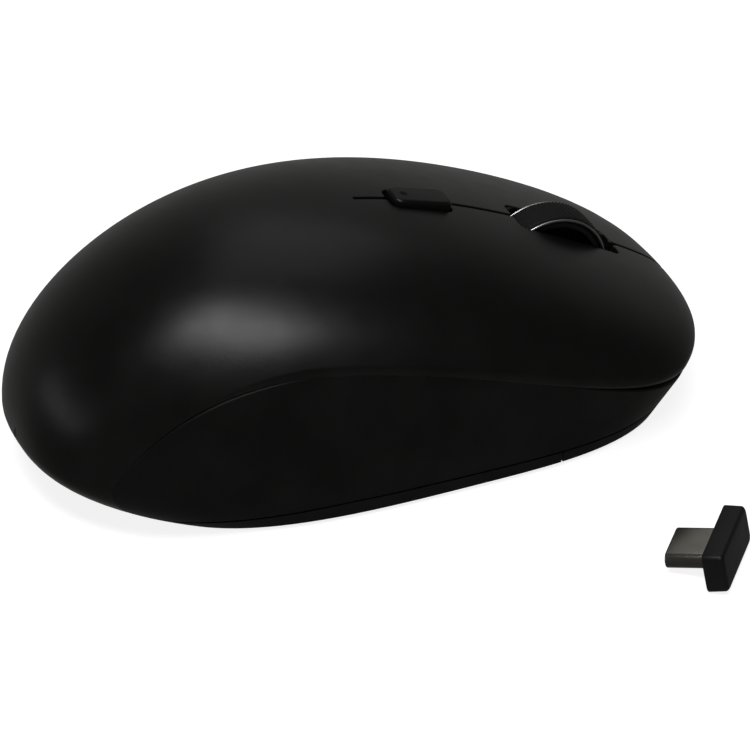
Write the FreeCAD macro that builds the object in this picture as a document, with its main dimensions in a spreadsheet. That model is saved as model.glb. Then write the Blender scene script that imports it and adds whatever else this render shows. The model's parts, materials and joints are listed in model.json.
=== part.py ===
"""A cordless computer mouse and its USB-C receiver, as a parametric document of separate pieces.

Frame: millimetres, +Z up, +Y towards the keys, +X to the right of the hand.
The origin lies on the desk, on the axis of the optical sensor, inside the ring-shaped glide foot.
"""

import FreeCAD, Part
import math
import os
import Sketcher

doc = FreeCAD.newDocument("computer_mouse")
sheet = doc.addObject("Spreadsheet::Sheet", "dims")
sheet.Label = "dims"

DIMENSIONS = {
    # Dome: plan, profile and section of the top shell.
    "body_length": 104,
    "body_middle_y": -9.3,
    "dome_half_width": 33,
    "plan_roundness": 0.82,
    "plan_taper": 0.155,
    "plan_fullness": 0.12,
    "dome_height": 36.4,
    "equator_height": 9.5,
    "profile_roundness": 0.966,
    "profile_lean": -0.384,
    "profile_flat": -0.263,
    "profile_twist": 0.055,
    "section_exponent": 2.13,
    "shell_wall": 2,
    # Base outline and the tuck under the dome.
    "base_level": 0.8,
    "base_half_width": 27,
    "base_rear": 48.6,
    "base_front": 36.4,
    "base_exponent": 3.2,
    "tuck_height": 14,
    "floor_thickness": 2,
    "panel_bottom": 2.95,
    # Parting line between the top shell and the side band, seen from the side.
    "arch_top_y": -25,
    "arch_top_height": 25.4,
    "arch_rear_run": 30.5,
    "arch_front_run": 59.5,
    "arch_front_height": 9.7,
    "arch_gap": 0.3,
    "arch_front_gap": 1.0,
    "band_lip": 1.0,
    "band_front_lip": 0.3,
    "lip_fade_start": 12,
    "lip_fade_end": 36,
    "flush_end_y": -50,
    "wall_start_y": -18,
    # Keys.
    "key_start_y": -8.3,
    "key_gap": 0.5,
    "key_root_gap": 0.3,
    "slot_half_width": 3.5,
    "slot_rear_y": 17.2,
    "slot_front_y": 33.4,
    "rib_width": 4,
    "rib_length": 3,
    # Inner frame below the keys.
    "frame_half_width": 7.6,
    "frame_drop": 3.6,
    "frame_wall": 1.4,
    "frame_rear_y": -14,
    "frame_front_y": 12,
    # Wheel.
    "wheel_y": 22.3,
    "wheel_height": 17.2,
    "tyre_radius": 9.3,
    "tyre_width": 5.0,
    "tyre_inner_radius": 7.4,
    "wheel_clearance": 1.0,
    "ring_radius": 8.9,
    "ring_width": 0.6,
    "ring_inner_radius": 7.7,
    "hub_bore_radius": 1.2,
    "axle_radius": 1.15,
    "axle_half_length": 7,
    "carriage_clearance": 0.05,
    "carriage_inner": 4.4,
    "carriage_wall": 1.4,
    "bar_drop": 8.4,
    "bar_height": 2,
    "arm_length": 6,
    "arm_rise": 2.4,
    "carriage_reach": 11.4,
    "foot_plate_width": 4.8,
    "foot_plate_length": 3,
    "foot_plate_height": 1.2,
    "encoder_width": 2.6,
    "encoder_length": 6,
    "encoder_height": 7,
    "encoder_drop": 5,
    "wheel_switch_width": 3.4,
    "wheel_switch_length": 4.5,
    "wheel_switch_height": 2.6,
    "wheel_switch_setback": 4,
    "wheel_switch_depth": 1.8,
    "wheel_plunger_radius": 0.85,
    # Resolution button on the centre line.
    "button_y": 2.0,
    "button_length": 9.6,
    "button_width": 4.7,
    "button_proud": 1.0,
    "button_wall": 0.8,
    "button_depth": 3.0,
    "button_corner": 1.0,
    "button_gap": 0.25,
    "light_radius": 0.45,
    # Micro switches.
    "switch_x": 13,
    "switch_y": 22.5,
    "switch_width": 5.8,
    "switch_length": 12.8,
    "switch_height": 6.5,
    "plunger_width": 1.4,
    "plunger_length": 2.0,
    "plunger_rise": 0.7,
    "plunger_depth": 1.0,
    "plunger_slot": 2.6,
    "dpi_switch_width": 2.6,
    "dpi_switch_length": 4.2,
    "dpi_switch_height": 1.45,
    "dpi_switch_drop": 3.05,
    "dpi_switch_offset": 0.8,
    "dpi_plunger_radius": 0.6,
    "dpi_plunger_length": 2.0,
    # Board, sensor and chips.
    "board_bottom": 5.5,
    "board_thickness": 1.6,
    "sensor_width": 8,
    "sensor_length": 9,
    "sensor_height": 3.6,
    "lens_width": 13.4,
    "lens_length": 15,
    "lens_plate": 1.1,
    "window_width": 4.4,
    "window_length": 6.4,
    "chip_side": 6,
    "chip_height": 0.9,
    "crystal_width": 3.2,
    "crystal_length": 2.5,
    "crystal_height": 0.8,
    "capacitor_radius": 2,
    "capacitor_height": 5.4,
    "led_radius": 1.3,
    "led_length": 4,
    "led_rear_y": 5.4,
    "chip_x": 13,
    "chip_y": 6,
    "crystal_y": 0.5,
    "capacitor_x": 12,
    "capacitor_y": -4.6,
    # Battery, its bay and the battery door.
    "battery_x": -14.6,
    "battery_rear_y": -33.2,
    "battery_radius": 5.25,
    "battery_length": 43.3,
    "battery_nub_radius": 1.9,
    "battery_nub": 1.2,
    "battery_height": 9.2,
    "bay_half_width": 5.9,
    "bay_rear_y": -35.2,
    "bay_front_y": 12.2,
    "bay_wall": 1.2,
    "bay_wall_top": 13,
    "door_front_y": 13.4,
    "tongue_half_width": 8.6,
    "tongue_rear_y": -10.4,
    "door_gap": 0.25,
    "deck_bottom": 3.1,
    "deck_top": 4.6,
    "contact_side": 8,
    "contact_thickness": 0.4,
    "spring_radius": 2.6,
    "spring_wire": 0.28,
    "spring_turns": 2.5,
    "dent_radius": 9,
    "dent_y": -24,
    "dent_depth": 0.8,
    # Receiver bay.
    "nest_x": 11,
    "nest_y": -27.2,
    "nest_width": 16.4,
    "nest_length": 11.6,
    "nest_top": 11.4,
    # Feet, screws and power switch.
    "ring_foot_outer": 7.8,
    "ring_foot_inner": 4.8,
    "foot_y_front": 31.4,
    "foot_y_rear": -42.5,
    "foot_length": 24,
    "foot_width": 5,
    "screw_radius": 0.85,
    "screw_head_radius": 1.6,
    "screw_head": 1.0,
    "screw_length": 6,
    "front_screw_x": 9,
    "front_screw_y": 31.6,
    "rear_screw_x": 13,
    "rear_screw_y": -40.5,
    "boss_radius": 2.1,
    "slider_x": 13,
    "slider_y": 19.6,
    "slider_travel": 4,
    "slider_length": 3.6,
    "slider_width": 3,
    # Receiver.
    "plug_root": 2.0,
    "contact_pitch": 0.75,
    "contact_width": 0.24,
    "contact_rise": 0.16,
    "contact_start": 1.2,
    "contact_setback": 1.1,
    "receiver_x": 57.3,
    "receiver_y": 22.9,
    "receiver_turn": 49.4,
    "receiver_tilt": 11.2,
    "cap_width": 13.8,
    "cap_height": 6.3,
    "cap_depth": 3.2,
    "cap_draft": 2,
    "cap_corner": 0.9,
    "plug_width": 8.25,
    "plug_height": 2.4,
    "plug_length": 6.5,
    "plug_wall": 0.3,
}
for row, (alias, value) in enumerate(DIMENSIONS.items(), start=1):
    sheet.set("A%d" % row, alias)
    sheet.set("B%d" % row, str(value))
    sheet.setAlias("B%d" % row, alias)
doc.recompute()


class Size:
    """A length with its value and the spreadsheet expression that gives it."""

    def __init__(self, value, text):
        self.value = value
        self.text = text

    def __float__(self):
        return float(self.value)

    def __add__(self, other):
        return joined(self, "+", other, self.value + number(other))

    def __radd__(self, other):
        return joined(other, "+", self, number(other) + self.value)

    def __sub__(self, other):
        return joined(self, "-", other, self.value - number(other))

    def __rsub__(self, other):
        return joined(other, "-", self, number(other) - self.value)

    def __mul__(self, other):
        return joined(self, "*", other, self.value * number(other))

    def __rmul__(self, other):
        return joined(other, "*", self, number(other) * self.value)

    def __truediv__(self, other):
        return joined(self, "/", other, self.value / number(other))

    def __neg__(self):
        return joined(0, "-", self, -self.value)


def number(item):
    """The plain value of a size or a number."""
    return float(item)


def text_of(item):
    """The expression of a size, or a number as text."""
    return item.text if isinstance(item, Size) else "%.6g" % item


def joined(left, sign, right, value):
    return Size(value, "(%s %s %s)" % (text_of(left), sign, text_of(right)))


class Dimensions:
    """Reads the spreadsheet: dim.body_length is the size in the cell of that alias."""

    def __getattr__(self, alias):
        return Size(float(sheet.get(alias)), "dims." + alias)


dim = Dimensions()


def value_of(alias):
    return float(sheet.get(alias))


# ---------------------------------------------------------------- document helpers


def bind(obj, prop, size):
    """Ties a property to the spreadsheet, or sets it where the size is a plain number."""
    if isinstance(size, Size):
        obj.setExpression(prop, size.text)
    else:
        setattr(obj, prop, size)


def place(obj, x, y, z, axis=(0, 0, 1), angle=0):
    """Puts an object at sizes x, y, z, turned by angle degrees about axis."""
    turn = FreeCAD.Rotation(FreeCAD.Vector(*axis), angle)
    spot = FreeCAD.Vector(number(x), number(y), number(z))
    obj.Placement = FreeCAD.Placement(spot, turn)
    for letter, size in zip("xyz", (x, y, z)):
        if isinstance(size, Size):
            obj.setExpression("Placement.Base." + letter, size.text)


NODES = []


def node(obj, name):
    """Marks an object as a finished piece and names it."""
    obj.Label = name
    NODES.append(obj)
    return obj


def box(name, width, length, height, x, y, z):
    """A block centred on x and y, standing on z."""
    obj = doc.addObject("Part::Box", name)
    bind(obj, "Length", width)
    bind(obj, "Width", length)
    bind(obj, "Height", height)
    place(obj, x - width / 2, y - length / 2, z)
    return obj


def cylinder(name, radius, height, x, y, z, axis=(0, 0, 1), angle=0):
    obj = doc.addObject("Part::Cylinder", name)
    bind(obj, "Radius", radius)
    bind(obj, "Height", height)
    place(obj, x, y, z, axis, angle)
    return obj


def fused(name, parts):
    obj = doc.addObject("Part::MultiFuse", name)
    obj.Shapes = parts
    return obj


def cut(name, base, tool):
    obj = doc.addObject("Part::Cut", name)
    obj.Base = base
    obj.Tool = tool
    return obj


def new_body(name):
    return doc.addObject("PartDesign::Body", name + "_body")


def new_sketch(body, role, name, lift=0):
    """A sketch on one of the body's own origin planes, moved along its normal by lift."""
    sketch = body.newObject("Sketcher::SketchObject", name)
    plane = next(item for item in body.Origin.OriginFeatures if item.Role == role)
    sketch.AttachmentSupport = [(plane, "")]
    sketch.MapMode = "FlatFace"
    if isinstance(lift, Size):
        sketch.setExpression("AttachmentOffset.Base.z", lift.text)
    elif lift:
        sketch.AttachmentOffset = FreeCAD.Placement(FreeCAD.Vector(0, 0, lift), FreeCAD.Rotation())
    return sketch


def constrain(sketch, kind, first, first_point, second, second_point, size):
    index = sketch.addConstraint(
        Sketcher.Constraint(kind, first, first_point, second, second_point, number(size))
    )
    if isinstance(size, Size):
        sketch.setExpression("Constraints[%d]" % index, size.text)


def polygon(sketch, corners):
    """A closed outline of straight lines whose corners are given as pairs of sizes."""
    spots = [FreeCAD.Vector(number(a), number(b), 0) for a, b in corners]
    first = sketch.GeometryCount
    count = len(spots)
    for i in range(count):
        sketch.addGeometry(Part.LineSegment(spots[i], spots[(i + 1) % count]))
    for i in range(count):
        following = first + (i + 1) % count
        sketch.addConstraint(Sketcher.Constraint("Coincident", first + i, 2, following, 1))
    for i, (a, b) in enumerate(corners):
        constrain(sketch, "DistanceX", -1, 1, first + i, 1, a)
        constrain(sketch, "DistanceY", -1, 1, first + i, 1, b)


def rectangle(sketch, width, length, x=0, y=0):
    """A rectangle centred on x, y."""
    left, right = x - width / 2, x + width / 2
    low, high = y - length / 2, y + length / 2
    polygon(sketch, [(left, low), (right, low), (right, high), (left, high)])


def circle(sketch, radius, x=0, y=0):
    spot = FreeCAD.Vector(number(x), number(y), 0)
    index = sketch.addGeometry(Part.Circle(spot, FreeCAD.Vector(0, 0, 1), number(radius)))
    added = sketch.addConstraint(Sketcher.Constraint("Radius", index, number(radius)))
    sketch.setExpression("Constraints[%d]" % added, text_of(radius))
    constrain(sketch, "DistanceX", -1, 1, index, 3, x)
    constrain(sketch, "DistanceY", -1, 1, index, 3, y)


def pad(body, sketch, length, name):
    feature = body.newObject("PartDesign::Pad", name)
    feature.Profile = sketch
    bind(feature, "Length", length)
    return feature


def pocket(body, sketch, length, name, reverse=False):
    feature = body.newObject("PartDesign::Pocket", name)
    feature.Profile = sketch
    feature.Reversed = reverse
    bind(feature, "Length", length)
    return feature


def revolved(body, sketch, axis, name):
    feature = body.newObject("PartDesign::Revolution", name)
    feature.Profile = sketch
    feature.ReferenceAxis = (sketch, [axis])
    feature.Angle = 360
    return feature


def rounded(body, base, direction, radius, name, slant=0.0):
    """Rounds every straight edge of a feature within slant degrees of the given direction."""
    doc.recompute()
    wanted = FreeCAD.Vector(*direction)
    least = math.cos(math.radians(slant)) - 1e-6
    edges = []
    for i, edge in enumerate(base.Shape.Edges, start=1):
        if len(edge.Vertexes) < 2:
            continue
        chord = edge.Vertexes[1].Point - edge.Vertexes[0].Point
        straight = chord.Length > 0.9999 * edge.Length
        if straight and abs(chord.normalize().dot(wanted)) > least:
            edges.append("Edge%d" % i)
    feature = body.newObject("PartDesign::Fillet", name)
    feature.Base = (base, edges)
    bind(feature, "Radius", radius)
    return feature


def shaped(name, shape):
    """A piece whose solid is worked out from the sheet by the functions below."""
    obj = doc.addObject("Part::Feature", name + "_form")
    obj.Shape = shape
    return obj


# ---------------------------------------------------------------- the body's formula


def vector(x, y, z):
    return FreeCAD.Vector(x, y, z)


def dome_profile(angle, inset=0.0):
    """Plan half-width, y and top height of the dome at a station angle from -90 to 90 degrees."""
    s, c = math.sin(angle), max(math.cos(angle), 0.0)
    reach = value_of("body_length") / 2 - inset
    y = value_of("body_middle_y") + reach * s
    plan = 1 + value_of("plan_taper") * s + value_of("plan_fullness") * s * s
    width = (value_of("dome_half_width") - inset) * c ** value_of("plan_roundness") * plan
    lean = 1 + value_of("profile_lean") * s + value_of("profile_flat") * s * s
    lean += value_of("profile_twist") * s**3
    rise = value_of("dome_height") - value_of("equator_height") - inset
    top = value_of("equator_height") + rise * c ** value_of("profile_roundness") * lean
    return width, y, top


def station_angle(y, inset=0.0):
    reach = value_of("body_length") / 2 - inset
    s = (y - value_of("body_middle_y")) / reach
    return math.asin(max(-1.0, min(1.0, s)))


def dome_height_at(x, y, inset=0.0):
    """Height of the dome's surface over a point of the plan."""
    width, _, top = dome_profile(station_angle(y, inset), inset)
    share = min(1.0, abs(x) / max(width, 1e-6))
    power = value_of("section_exponent")
    level = value_of("equator_height")
    return level + (top - level) * (1 - share**power) ** (1 / power)


def inside_dome(x, y, z):
    """Whether a point at or above the equator is inside the dome."""
    reach = value_of("body_length") / 2
    if abs(y - value_of("body_middle_y")) >= reach:
        return False
    width, _, top = dome_profile(station_angle(y))
    power = value_of("section_exponent")
    rise = (z - value_of("equator_height")) / (top - value_of("equator_height") + 1e-9)
    return (abs(x) / max(width, 1e-9)) ** power + max(rise, 0.0) ** power < 1


def inside_base(x, y):
    """Whether a point is inside the outline of the base."""
    reach = value_of("base_front") if y > 0 else value_of("base_rear")
    power = value_of("base_exponent")
    return (abs(x) / value_of("base_half_width")) ** power + (abs(y) / reach) ** power < 1


POLE_Y = -8.0


def ray_radius(turn, test):
    """Distance from the vertical axis at POLE_Y to the outline that test describes, towards turn."""
    low, high = 0.0, 90.0
    for _ in range(40):
        middle = (low + high) / 2
        x, y = middle * math.cos(turn), POLE_Y + middle * math.sin(turn)
        if test(x, y):
            low = middle
        else:
            high = middle
    return low


def arch_height(y):
    """Height of the parting line at y, in the side view."""
    top = value_of("arch_top_height")
    if y < value_of("arch_top_y"):
        share = min(1.0, (value_of("arch_top_y") - y) / value_of("arch_rear_run"))
        return top * math.sqrt(max(0.0, 1 - share**2.2))
    low = value_of("arch_front_height")
    share = min(1.0, (y - value_of("arch_top_y")) / value_of("arch_front_run"))
    return low + (top - low) * (1 - share**1.72) ** 1.2


def smooth(value, start, end):
    share = max(0.0, min(1.0, (value - start) / (end - start)))
    return share * share * (3 - 2 * share)


def full_radius(turn, z):
    """Radius of the whole body at height z: the dome, or the tuck between equator and base."""
    level = value_of("equator_height")
    if z >= level:
        return ray_radius(turn, lambda x, y: inside_dome(x, y, z))
    equator = ray_radius(turn, lambda x, y: inside_dome(x, y, level))
    base = ray_radius(turn, inside_base)
    sine = (level - z) / value_of("tuck_height")
    last = (level - value_of("base_level")) / value_of("tuck_height")
    cosine, least = math.sqrt(1 - sine * sine), math.sqrt(1 - last * last)
    return base + (equator - base) * (cosine - least) / (1 - least)


def crease(turn):
    """Radius and height of the parting line towards turn."""
    level = value_of("equator_height")
    radius = ray_radius(turn, lambda x, y: inside_dome(x, y, max(arch_height(y), level)))
    return radius, max(arch_height(POLE_Y + radius * math.sin(turn)), level)


def band_radius(turn, z):
    """Radius of the side band: flush with the body behind, a set-back wall towards the front."""
    radius, height = crease(turn)
    flush = full_radius(turn, z)
    base = ray_radius(turn, inside_base)
    share = (z - value_of("base_level")) / (height - value_of("base_level"))
    y = POLE_Y + radius * math.sin(turn)
    lip = value_of("band_lip")
    fade = smooth(y, value_of("lip_fade_start"), value_of("lip_fade_end"))
    lip = lip + (value_of("band_front_lip") - lip) * fade
    wall = base + (radius - lip - base) * share
    weight = smooth(y, value_of("flush_end_y"), value_of("wall_start_y"))
    return flush + (wall - flush) * weight


def polar(turn, radius, z):
    return vector(radius * math.cos(turn), POLE_Y + radius * math.sin(turn), z)


def spline(points, periodic=False):
    curve = Part.BSplineCurve()
    curve.interpolate(Points=points, PeriodicFlag=periodic)
    return curve.toShape()


# ---------------------------------------------------------------- solids from the formula


def dome_solid(inset, floor):
    """The dome above the equator, shrunk by inset, with straight sides down to the floor height."""
    stations, steps = 25, 16
    power = 2 / value_of("section_exponent")
    level = value_of("equator_height")
    wires = []
    for i in range(1, stations):
        angle = math.pi * (i / stations - 0.5)
        width, y, top = dome_profile(angle, inset)
        points = []
        for j in range(steps + 1):
            turn = math.pi * j / steps
            c, s = math.cos(turn), math.sin(turn)
            x = width * math.copysign(abs(c) ** power, c)
            points.append(vector(x, y, level + (top - level) * abs(s) ** power))
        low_right, low_left = vector(width, y, floor), vector(-width, y, floor)
        edges = [spline(points)]
        if floor < level:
            edges.append(Part.makeLine(points[-1], low_left))
        edges.append(Part.makeLine(low_left, low_right))
        if floor < level:
            edges.append(Part.makeLine(low_right, points[0]))
        wires.append(Part.Wire(edges))
    return Part.makeLoft(wires, True)


def wall_solid(first, last, steps, radius_at, low, high_at, wall):
    """A curved wall that turns about the pole axis, lofted through upright sections."""
    rows = 6
    wires = []
    for i in range(steps + 1):
        turn = first + (last - first) * i / steps
        high = high_at(turn)
        outer, inner = [], []
        for j in range(rows + 1):
            z = low + (high - low) * j / rows
            radius = radius_at(turn, z)
            outer.append(polar(turn, radius, z))
            inner.append(polar(turn, radius - wall, z))
        inner.reverse()
        sides = [spline(outer), Part.makeLine(outer[-1], inner[0])]
        sides += [spline(inner), Part.makeLine(inner[-1], outer[0])]
        wires.append(Part.Wire(sides))
    return Part.makeLoft(wires, True)


def slab(low, high, inset):
    """A plate with the outline of the lower body, whose edge follows the body's tuck."""
    wires = []
    for z in (low, (low + high) / 2, high):
        points = []
        for i in range(72):
            turn = 2 * math.pi * i / 72
            points.append(polar(turn, band_radius(turn, z) - inset, z))
        wires.append(Part.Wire([spline(points, periodic=True)]))
    return Part.makeLoft(wires, True)


def block(x0, x1, y0, y1, z0, z1):
    """A block between two opposite corners."""
    low = vector(min(x0, x1), y0, z0)
    return Part.makeBox(abs(x1 - x0), y1 - y0, z1 - z0, low)


def post(radius, x, y, z0, z1):
    return Part.makeCylinder(radius, z1 - z0, vector(x, y, z0))


def largest(shape):
    """The largest solid of a shape, so that crumbs of a cut are dropped."""
    return max(shape.Solids, key=lambda item: item.Volume)


FAR = 80.0
BUTTON_TURN = -17.5
LEVEL = value_of("equator_height")
WALL = value_of("shell_wall")


def rear_turn():
    """Direction of the point where the parting line meets the equator, on the right."""
    low, high = math.radians(-89), math.radians(-20)
    for _ in range(40):
        middle = (low + high) / 2
        radius = full_radius(middle, LEVEL)
        if arch_height(POLE_Y + radius * math.sin(middle)) <= LEVEL:
            low = middle
        else:
            high = middle
    return low


REAR_TURN = rear_turn()
TURN_GAP = 0.003


def arch_block():
    """Everything below the parting line, as a slab across the whole width."""
    level = LEVEL
    start = POLE_Y + full_radius(REAR_TURN, level) * math.sin(REAR_TURN)
    top_y = value_of("arch_top_y")
    end = top_y + value_of("arch_front_run")
    rear = [start + (top_y - start) * (1 - math.cos(math.pi / 2 * i / 12)) for i in range(13)]
    front = [top_y + (end - top_y) * i / 16 for i in range(1, 17)]
    points = [vector(-FAR, y, arch_height(y)) for y in rear + front]
    corners = [points[-1]]
    corners.append(vector(-FAR, FAR, value_of("arch_front_height")))
    corners.append(vector(-FAR, FAR, -FAR))
    corners.append(vector(-FAR, start, -FAR))
    corners.append(points[0])
    edges = [spline(points)]
    edges += [Part.makeLine(a, b) for a, b in zip(corners, corners[1:])]
    return Part.Face(Part.Wire(edges)).extrude(vector(2 * FAR, 0, 0))


def make_top_shell():
    """The dome's shell above the parting line, before it is split into palm cover and keys."""
    shell = dome_solid(0.0, LEVEL).cut(dome_solid(WALL, LEVEL - 1))
    return shell.cut(arch_block())


def make_palm_cover(shell):
    """The rear of the top shell, with the skirt that closes the back down to the base."""
    hinge = value_of("key_start_y") - value_of("key_root_gap") / 2
    cover = shell.common(block(-FAR, FAR, -FAR, hinge, -FAR, FAR))
    inset = 0.05
    first, last = math.pi - REAR_TURN + TURN_GAP, 2 * math.pi + REAR_TURN - TURN_GAP
    skirt = wall_solid(
        first,
        last,
        20,
        lambda turn, z: full_radius(turn, min(z, LEVEL)) - inset,
        value_of("panel_bottom"),
        lambda turn: LEVEL + 0.6,
        WALL - 2 * inset,
    )
    return cover.fuse(skirt)


def make_key(shell, side):
    """One key: the front of the top shell on one side, with its rib over the micro switch."""
    half_gap = value_of("key_gap") / 2
    hinge = value_of("key_start_y") + value_of("key_root_gap") / 2
    key = shell.common(block(side * half_gap, side * FAR, hinge, FAR, -FAR, FAR))
    slot = value_of("slot_half_width")
    key = key.cut(block(0, side * slot, value_of("slot_rear_y"), value_of("slot_front_y"), 0, FAR))
    centre = vector(0, value_of("wheel_y"), value_of("wheel_height"))
    well_radius = value_of("tyre_radius") + value_of("wheel_clearance")
    key = key.cut(Part.makeCylinder(well_radius, slot, centre, vector(side, 0, 0)))
    reach = value_of("button_length") / 2 + value_of("button_gap")
    notch = value_of("button_width") / 2 + value_of("button_gap")
    opening = block(0, side * notch, -reach, reach, -FAR / 8, FAR / 8)
    opening.rotate(vector(0, 0, 0), vector(1, 0, 0), BUTTON_TURN)
    middle = value_of("button_y")
    opening.translate(vector(0, middle, dome_height_at(0, middle)))
    key = key.cut(opening)
    half_rib, length = value_of("rib_width") / 2, value_of("rib_length")
    x, y = side * value_of("switch_x"), value_of("switch_y")
    low = value_of("board_bottom") + value_of("board_thickness") + value_of("switch_height")
    low += value_of("plunger_rise")
    high = dome_height_at(abs(x) + half_rib, y + length / 2) - WALL / 2
    rib = block(x - half_rib, x + half_rib, y - length / 2, y + length / 2, low, high)
    return largest(key.fuse(rib))


def make_side_band():
    """The band of the lower case that runs from the rear right round the front to the rear left."""
    first, last = REAR_TURN + TURN_GAP, math.pi - REAR_TURN - TURN_GAP
    start, end = value_of("key_start_y"), value_of("base_front")

    def top(turn):
        radius, height = crease(turn)
        y = POLE_Y + radius * math.sin(turn)
        widening = value_of("arch_front_gap") * smooth(y, start, end)
        return height - value_of("arch_gap") - widening

    bottom = value_of("panel_bottom")
    return wall_solid(first, last, 72, band_radius, bottom, top, WALL)


def rear_region(gap):
    """Plan region of the battery door: the rear of the base, with a notch round the sensor."""
    front = value_of("door_front_y") - gap
    region = block(-FAR, FAR, -FAR, front, -FAR, FAR)
    half, rear = value_of("tongue_half_width") + gap, value_of("tongue_rear_y") - gap
    return region.cut(block(-half, half, rear, FAR, -FAR, FAR))


def screw_places():
    """Plan position of each housing screw and the height of its head's seat."""
    places = []
    for side in (-1, 1):
        places.append(
            (side * value_of("front_screw_x"), value_of("front_screw_y"), value_of("base_level"))
        )
        places.append(
            (side * value_of("rear_screw_x"), value_of("rear_screw_y"), value_of("deck_bottom"))
        )
    return places


def make_base_shell():
    """The lower case's floor: front plate with a tongue, and a raised deck with the two bays."""
    level, top = value_of("base_level"), value_of("base_level") + value_of("floor_thickness")
    deck, deck_top = value_of("deck_bottom"), value_of("deck_top")
    front = value_of("door_front_y")
    half, rear = value_of("tongue_half_width"), value_of("tongue_rear_y")
    step = 1.5
    base = slab(level, top, 0.0).cut(rear_region(0.0))
    raised = slab(deck, deck_top, WALL + 0.3)
    base = base.fuse(raised.cut(block(-FAR, FAR, front + step, FAR, -FAR, FAR)))
    inner = slab(level + 0.2, deck_top, WALL + 0.6)
    for side in (-1, 1):
        rim = block(side * half, side * FAR, front, front + step, 0, FAR)
        base = base.fuse(inner.common(rim))
        wall_block = block(side * (half - step), side * half, rear, front + step, level, deck_top)
        base = base.fuse(wall_block)
    base = base.fuse(block(-half, half, rear, rear + step, level, deck_top))
    base = base.cut(block(step - half, half - step, rear + step, front + step, top, deck_top + 1))
    wall = value_of("bay_wall")
    x, bay = value_of("battery_x"), value_of("bay_half_width")
    y0, y1 = value_of("bay_rear_y"), value_of("bay_front_y")
    high = value_of("bay_wall_top")
    bay_box = block(x - bay - wall, x + bay + wall, y0 - wall, y1 + wall, deck, high - 3)
    ends = block(x - bay - wall, x + bay + wall, y0 - wall, y0, deck, high)
    ends = ends.fuse(block(x - bay - wall, x + bay + wall, y1, y1 + wall, deck, high))
    base = base.fuse(bay_box).fuse(ends)
    base = base.cut(block(x - bay, x + bay, y0, y1, 0, FAR))
    x, y = value_of("nest_x"), value_of("nest_y")
    wide, long = value_of("nest_width") / 2, value_of("nest_length") / 2
    roof = value_of("nest_top")
    x0, x1, y0, y1 = x - wide - wall, x + wide + wall, y - long - wall, y + long + wall
    base = base.fuse(block(x0, x1, y0, y1, deck, roof + wall))
    base = base.cut(block(x - wide, x + wide, y - long, y + long, 0, roof))
    for x, y, seat in screw_places():
        base = base.fuse(post(value_of("boss_radius"), x, y, seat, seat + 7))
        base = base.cut(post(value_of("screw_radius"), x, y, seat, seat + 8))
        head_top = seat + value_of("screw_head")
        base = base.cut(post(value_of("screw_head_radius") + 0.1, x, y, 0, head_top))
    wide, long = value_of("window_width") / 2 + 0.2, value_of("window_length") / 2 + 0.2
    base = base.cut(block(-wide, wide, -long, long, 0, top))
    x, y = value_of("slider_x"), value_of("slider_y")
    half, travel = value_of("slider_length") / 2 + 0.2, value_of("slider_travel")
    across = value_of("slider_width") / 2 + 0.2
    base = base.cut(block(x - half, x + half + travel, y - across, y + across, 0, top))
    return largest(base)


def make_battery_door():
    """The rear of the base plate, which slides off backwards; it has a finger dent below."""
    level, top = value_of("base_level"), value_of("base_level") + value_of("floor_thickness")
    door = slab(level, top, 0.0).common(rear_region(value_of("door_gap")))
    radius = value_of("dent_radius")
    middle = vector(0, value_of("dent_y"), level + value_of("dent_depth") - radius)
    dent = Part.makeSphere(radius, middle)
    return largest(door.cut(dent))


def make_inner_frame():
    """A curved bridge fixed below the key split, which carries the resolution button's switch."""
    drop, wall = value_of("frame_drop"), value_of("frame_wall")
    sheet_solid = dome_solid(drop, LEVEL).cut(dome_solid(drop + wall, LEVEL - 1))
    half = value_of("frame_half_width")
    window = block(-half, half, value_of("frame_rear_y"), value_of("frame_front_y"), LEVEL + 5, FAR)
    return largest(sheet_solid.common(window))


top_shell = make_top_shell()
node(shaped("palm_cover", make_palm_cover(top_shell)), "palm_cover")
node(shaped("key_left", make_key(top_shell, -1)), "key_left")
node(shaped("key_right", make_key(top_shell, 1)), "key_right")
node(shaped("side_band", make_side_band()), "side_band")
node(shaped("base_shell", make_base_shell()), "base_shell")
node(shaped("battery_door", make_battery_door()), "battery_door")
node(shaped("inner_frame", make_inner_frame()), "inner_frame")


# ---------------------------------------------------------------- wheel and its carriage


def turned(name, profile):
    """A body turned about the X axis through the wheel's centre, from corners (x, radius)."""
    body = new_body(name)
    sketch = new_sketch(body, "XY_Plane", name + "_profile")
    polygon(sketch, profile)
    revolved(body, sketch, "H_Axis", name + "_turned")
    place(body, 0, dim.wheel_y, dim.wheel_height)
    return node(body, name)


half_tyre = dim.tyre_width / 2
tyre_chamfer = 0.5
rim_radius = dim.tyre_inner_radius - 1.2
boss_radius = dim.hub_bore_radius * 2.2
ring_chamfer = 0.2
turned(
    "wheel_tyre",
    [
        (-half_tyre, dim.tyre_inner_radius),
        (half_tyre, dim.tyre_inner_radius),
        (half_tyre, dim.tyre_radius - tyre_chamfer),
        (half_tyre - tyre_chamfer, dim.tyre_radius),
        (-half_tyre + tyre_chamfer, dim.tyre_radius),
        (-half_tyre, dim.tyre_radius - tyre_chamfer),
    ],
)
web_half = dim.tyre_width / 4
turned(
    "wheel_hub",
    [
        (-half_tyre, dim.hub_bore_radius),
        (half_tyre, dim.hub_bore_radius),
        (half_tyre, boss_radius),
        (web_half, boss_radius),
        (web_half, rim_radius),
        (half_tyre, rim_radius),
        (half_tyre, dim.tyre_inner_radius),
        (-half_tyre, dim.tyre_inner_radius),
        (-half_tyre, rim_radius),
        (-web_half, rim_radius),
        (-web_half, boss_radius),
        (-half_tyre, boss_radius),
    ],
)
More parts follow.
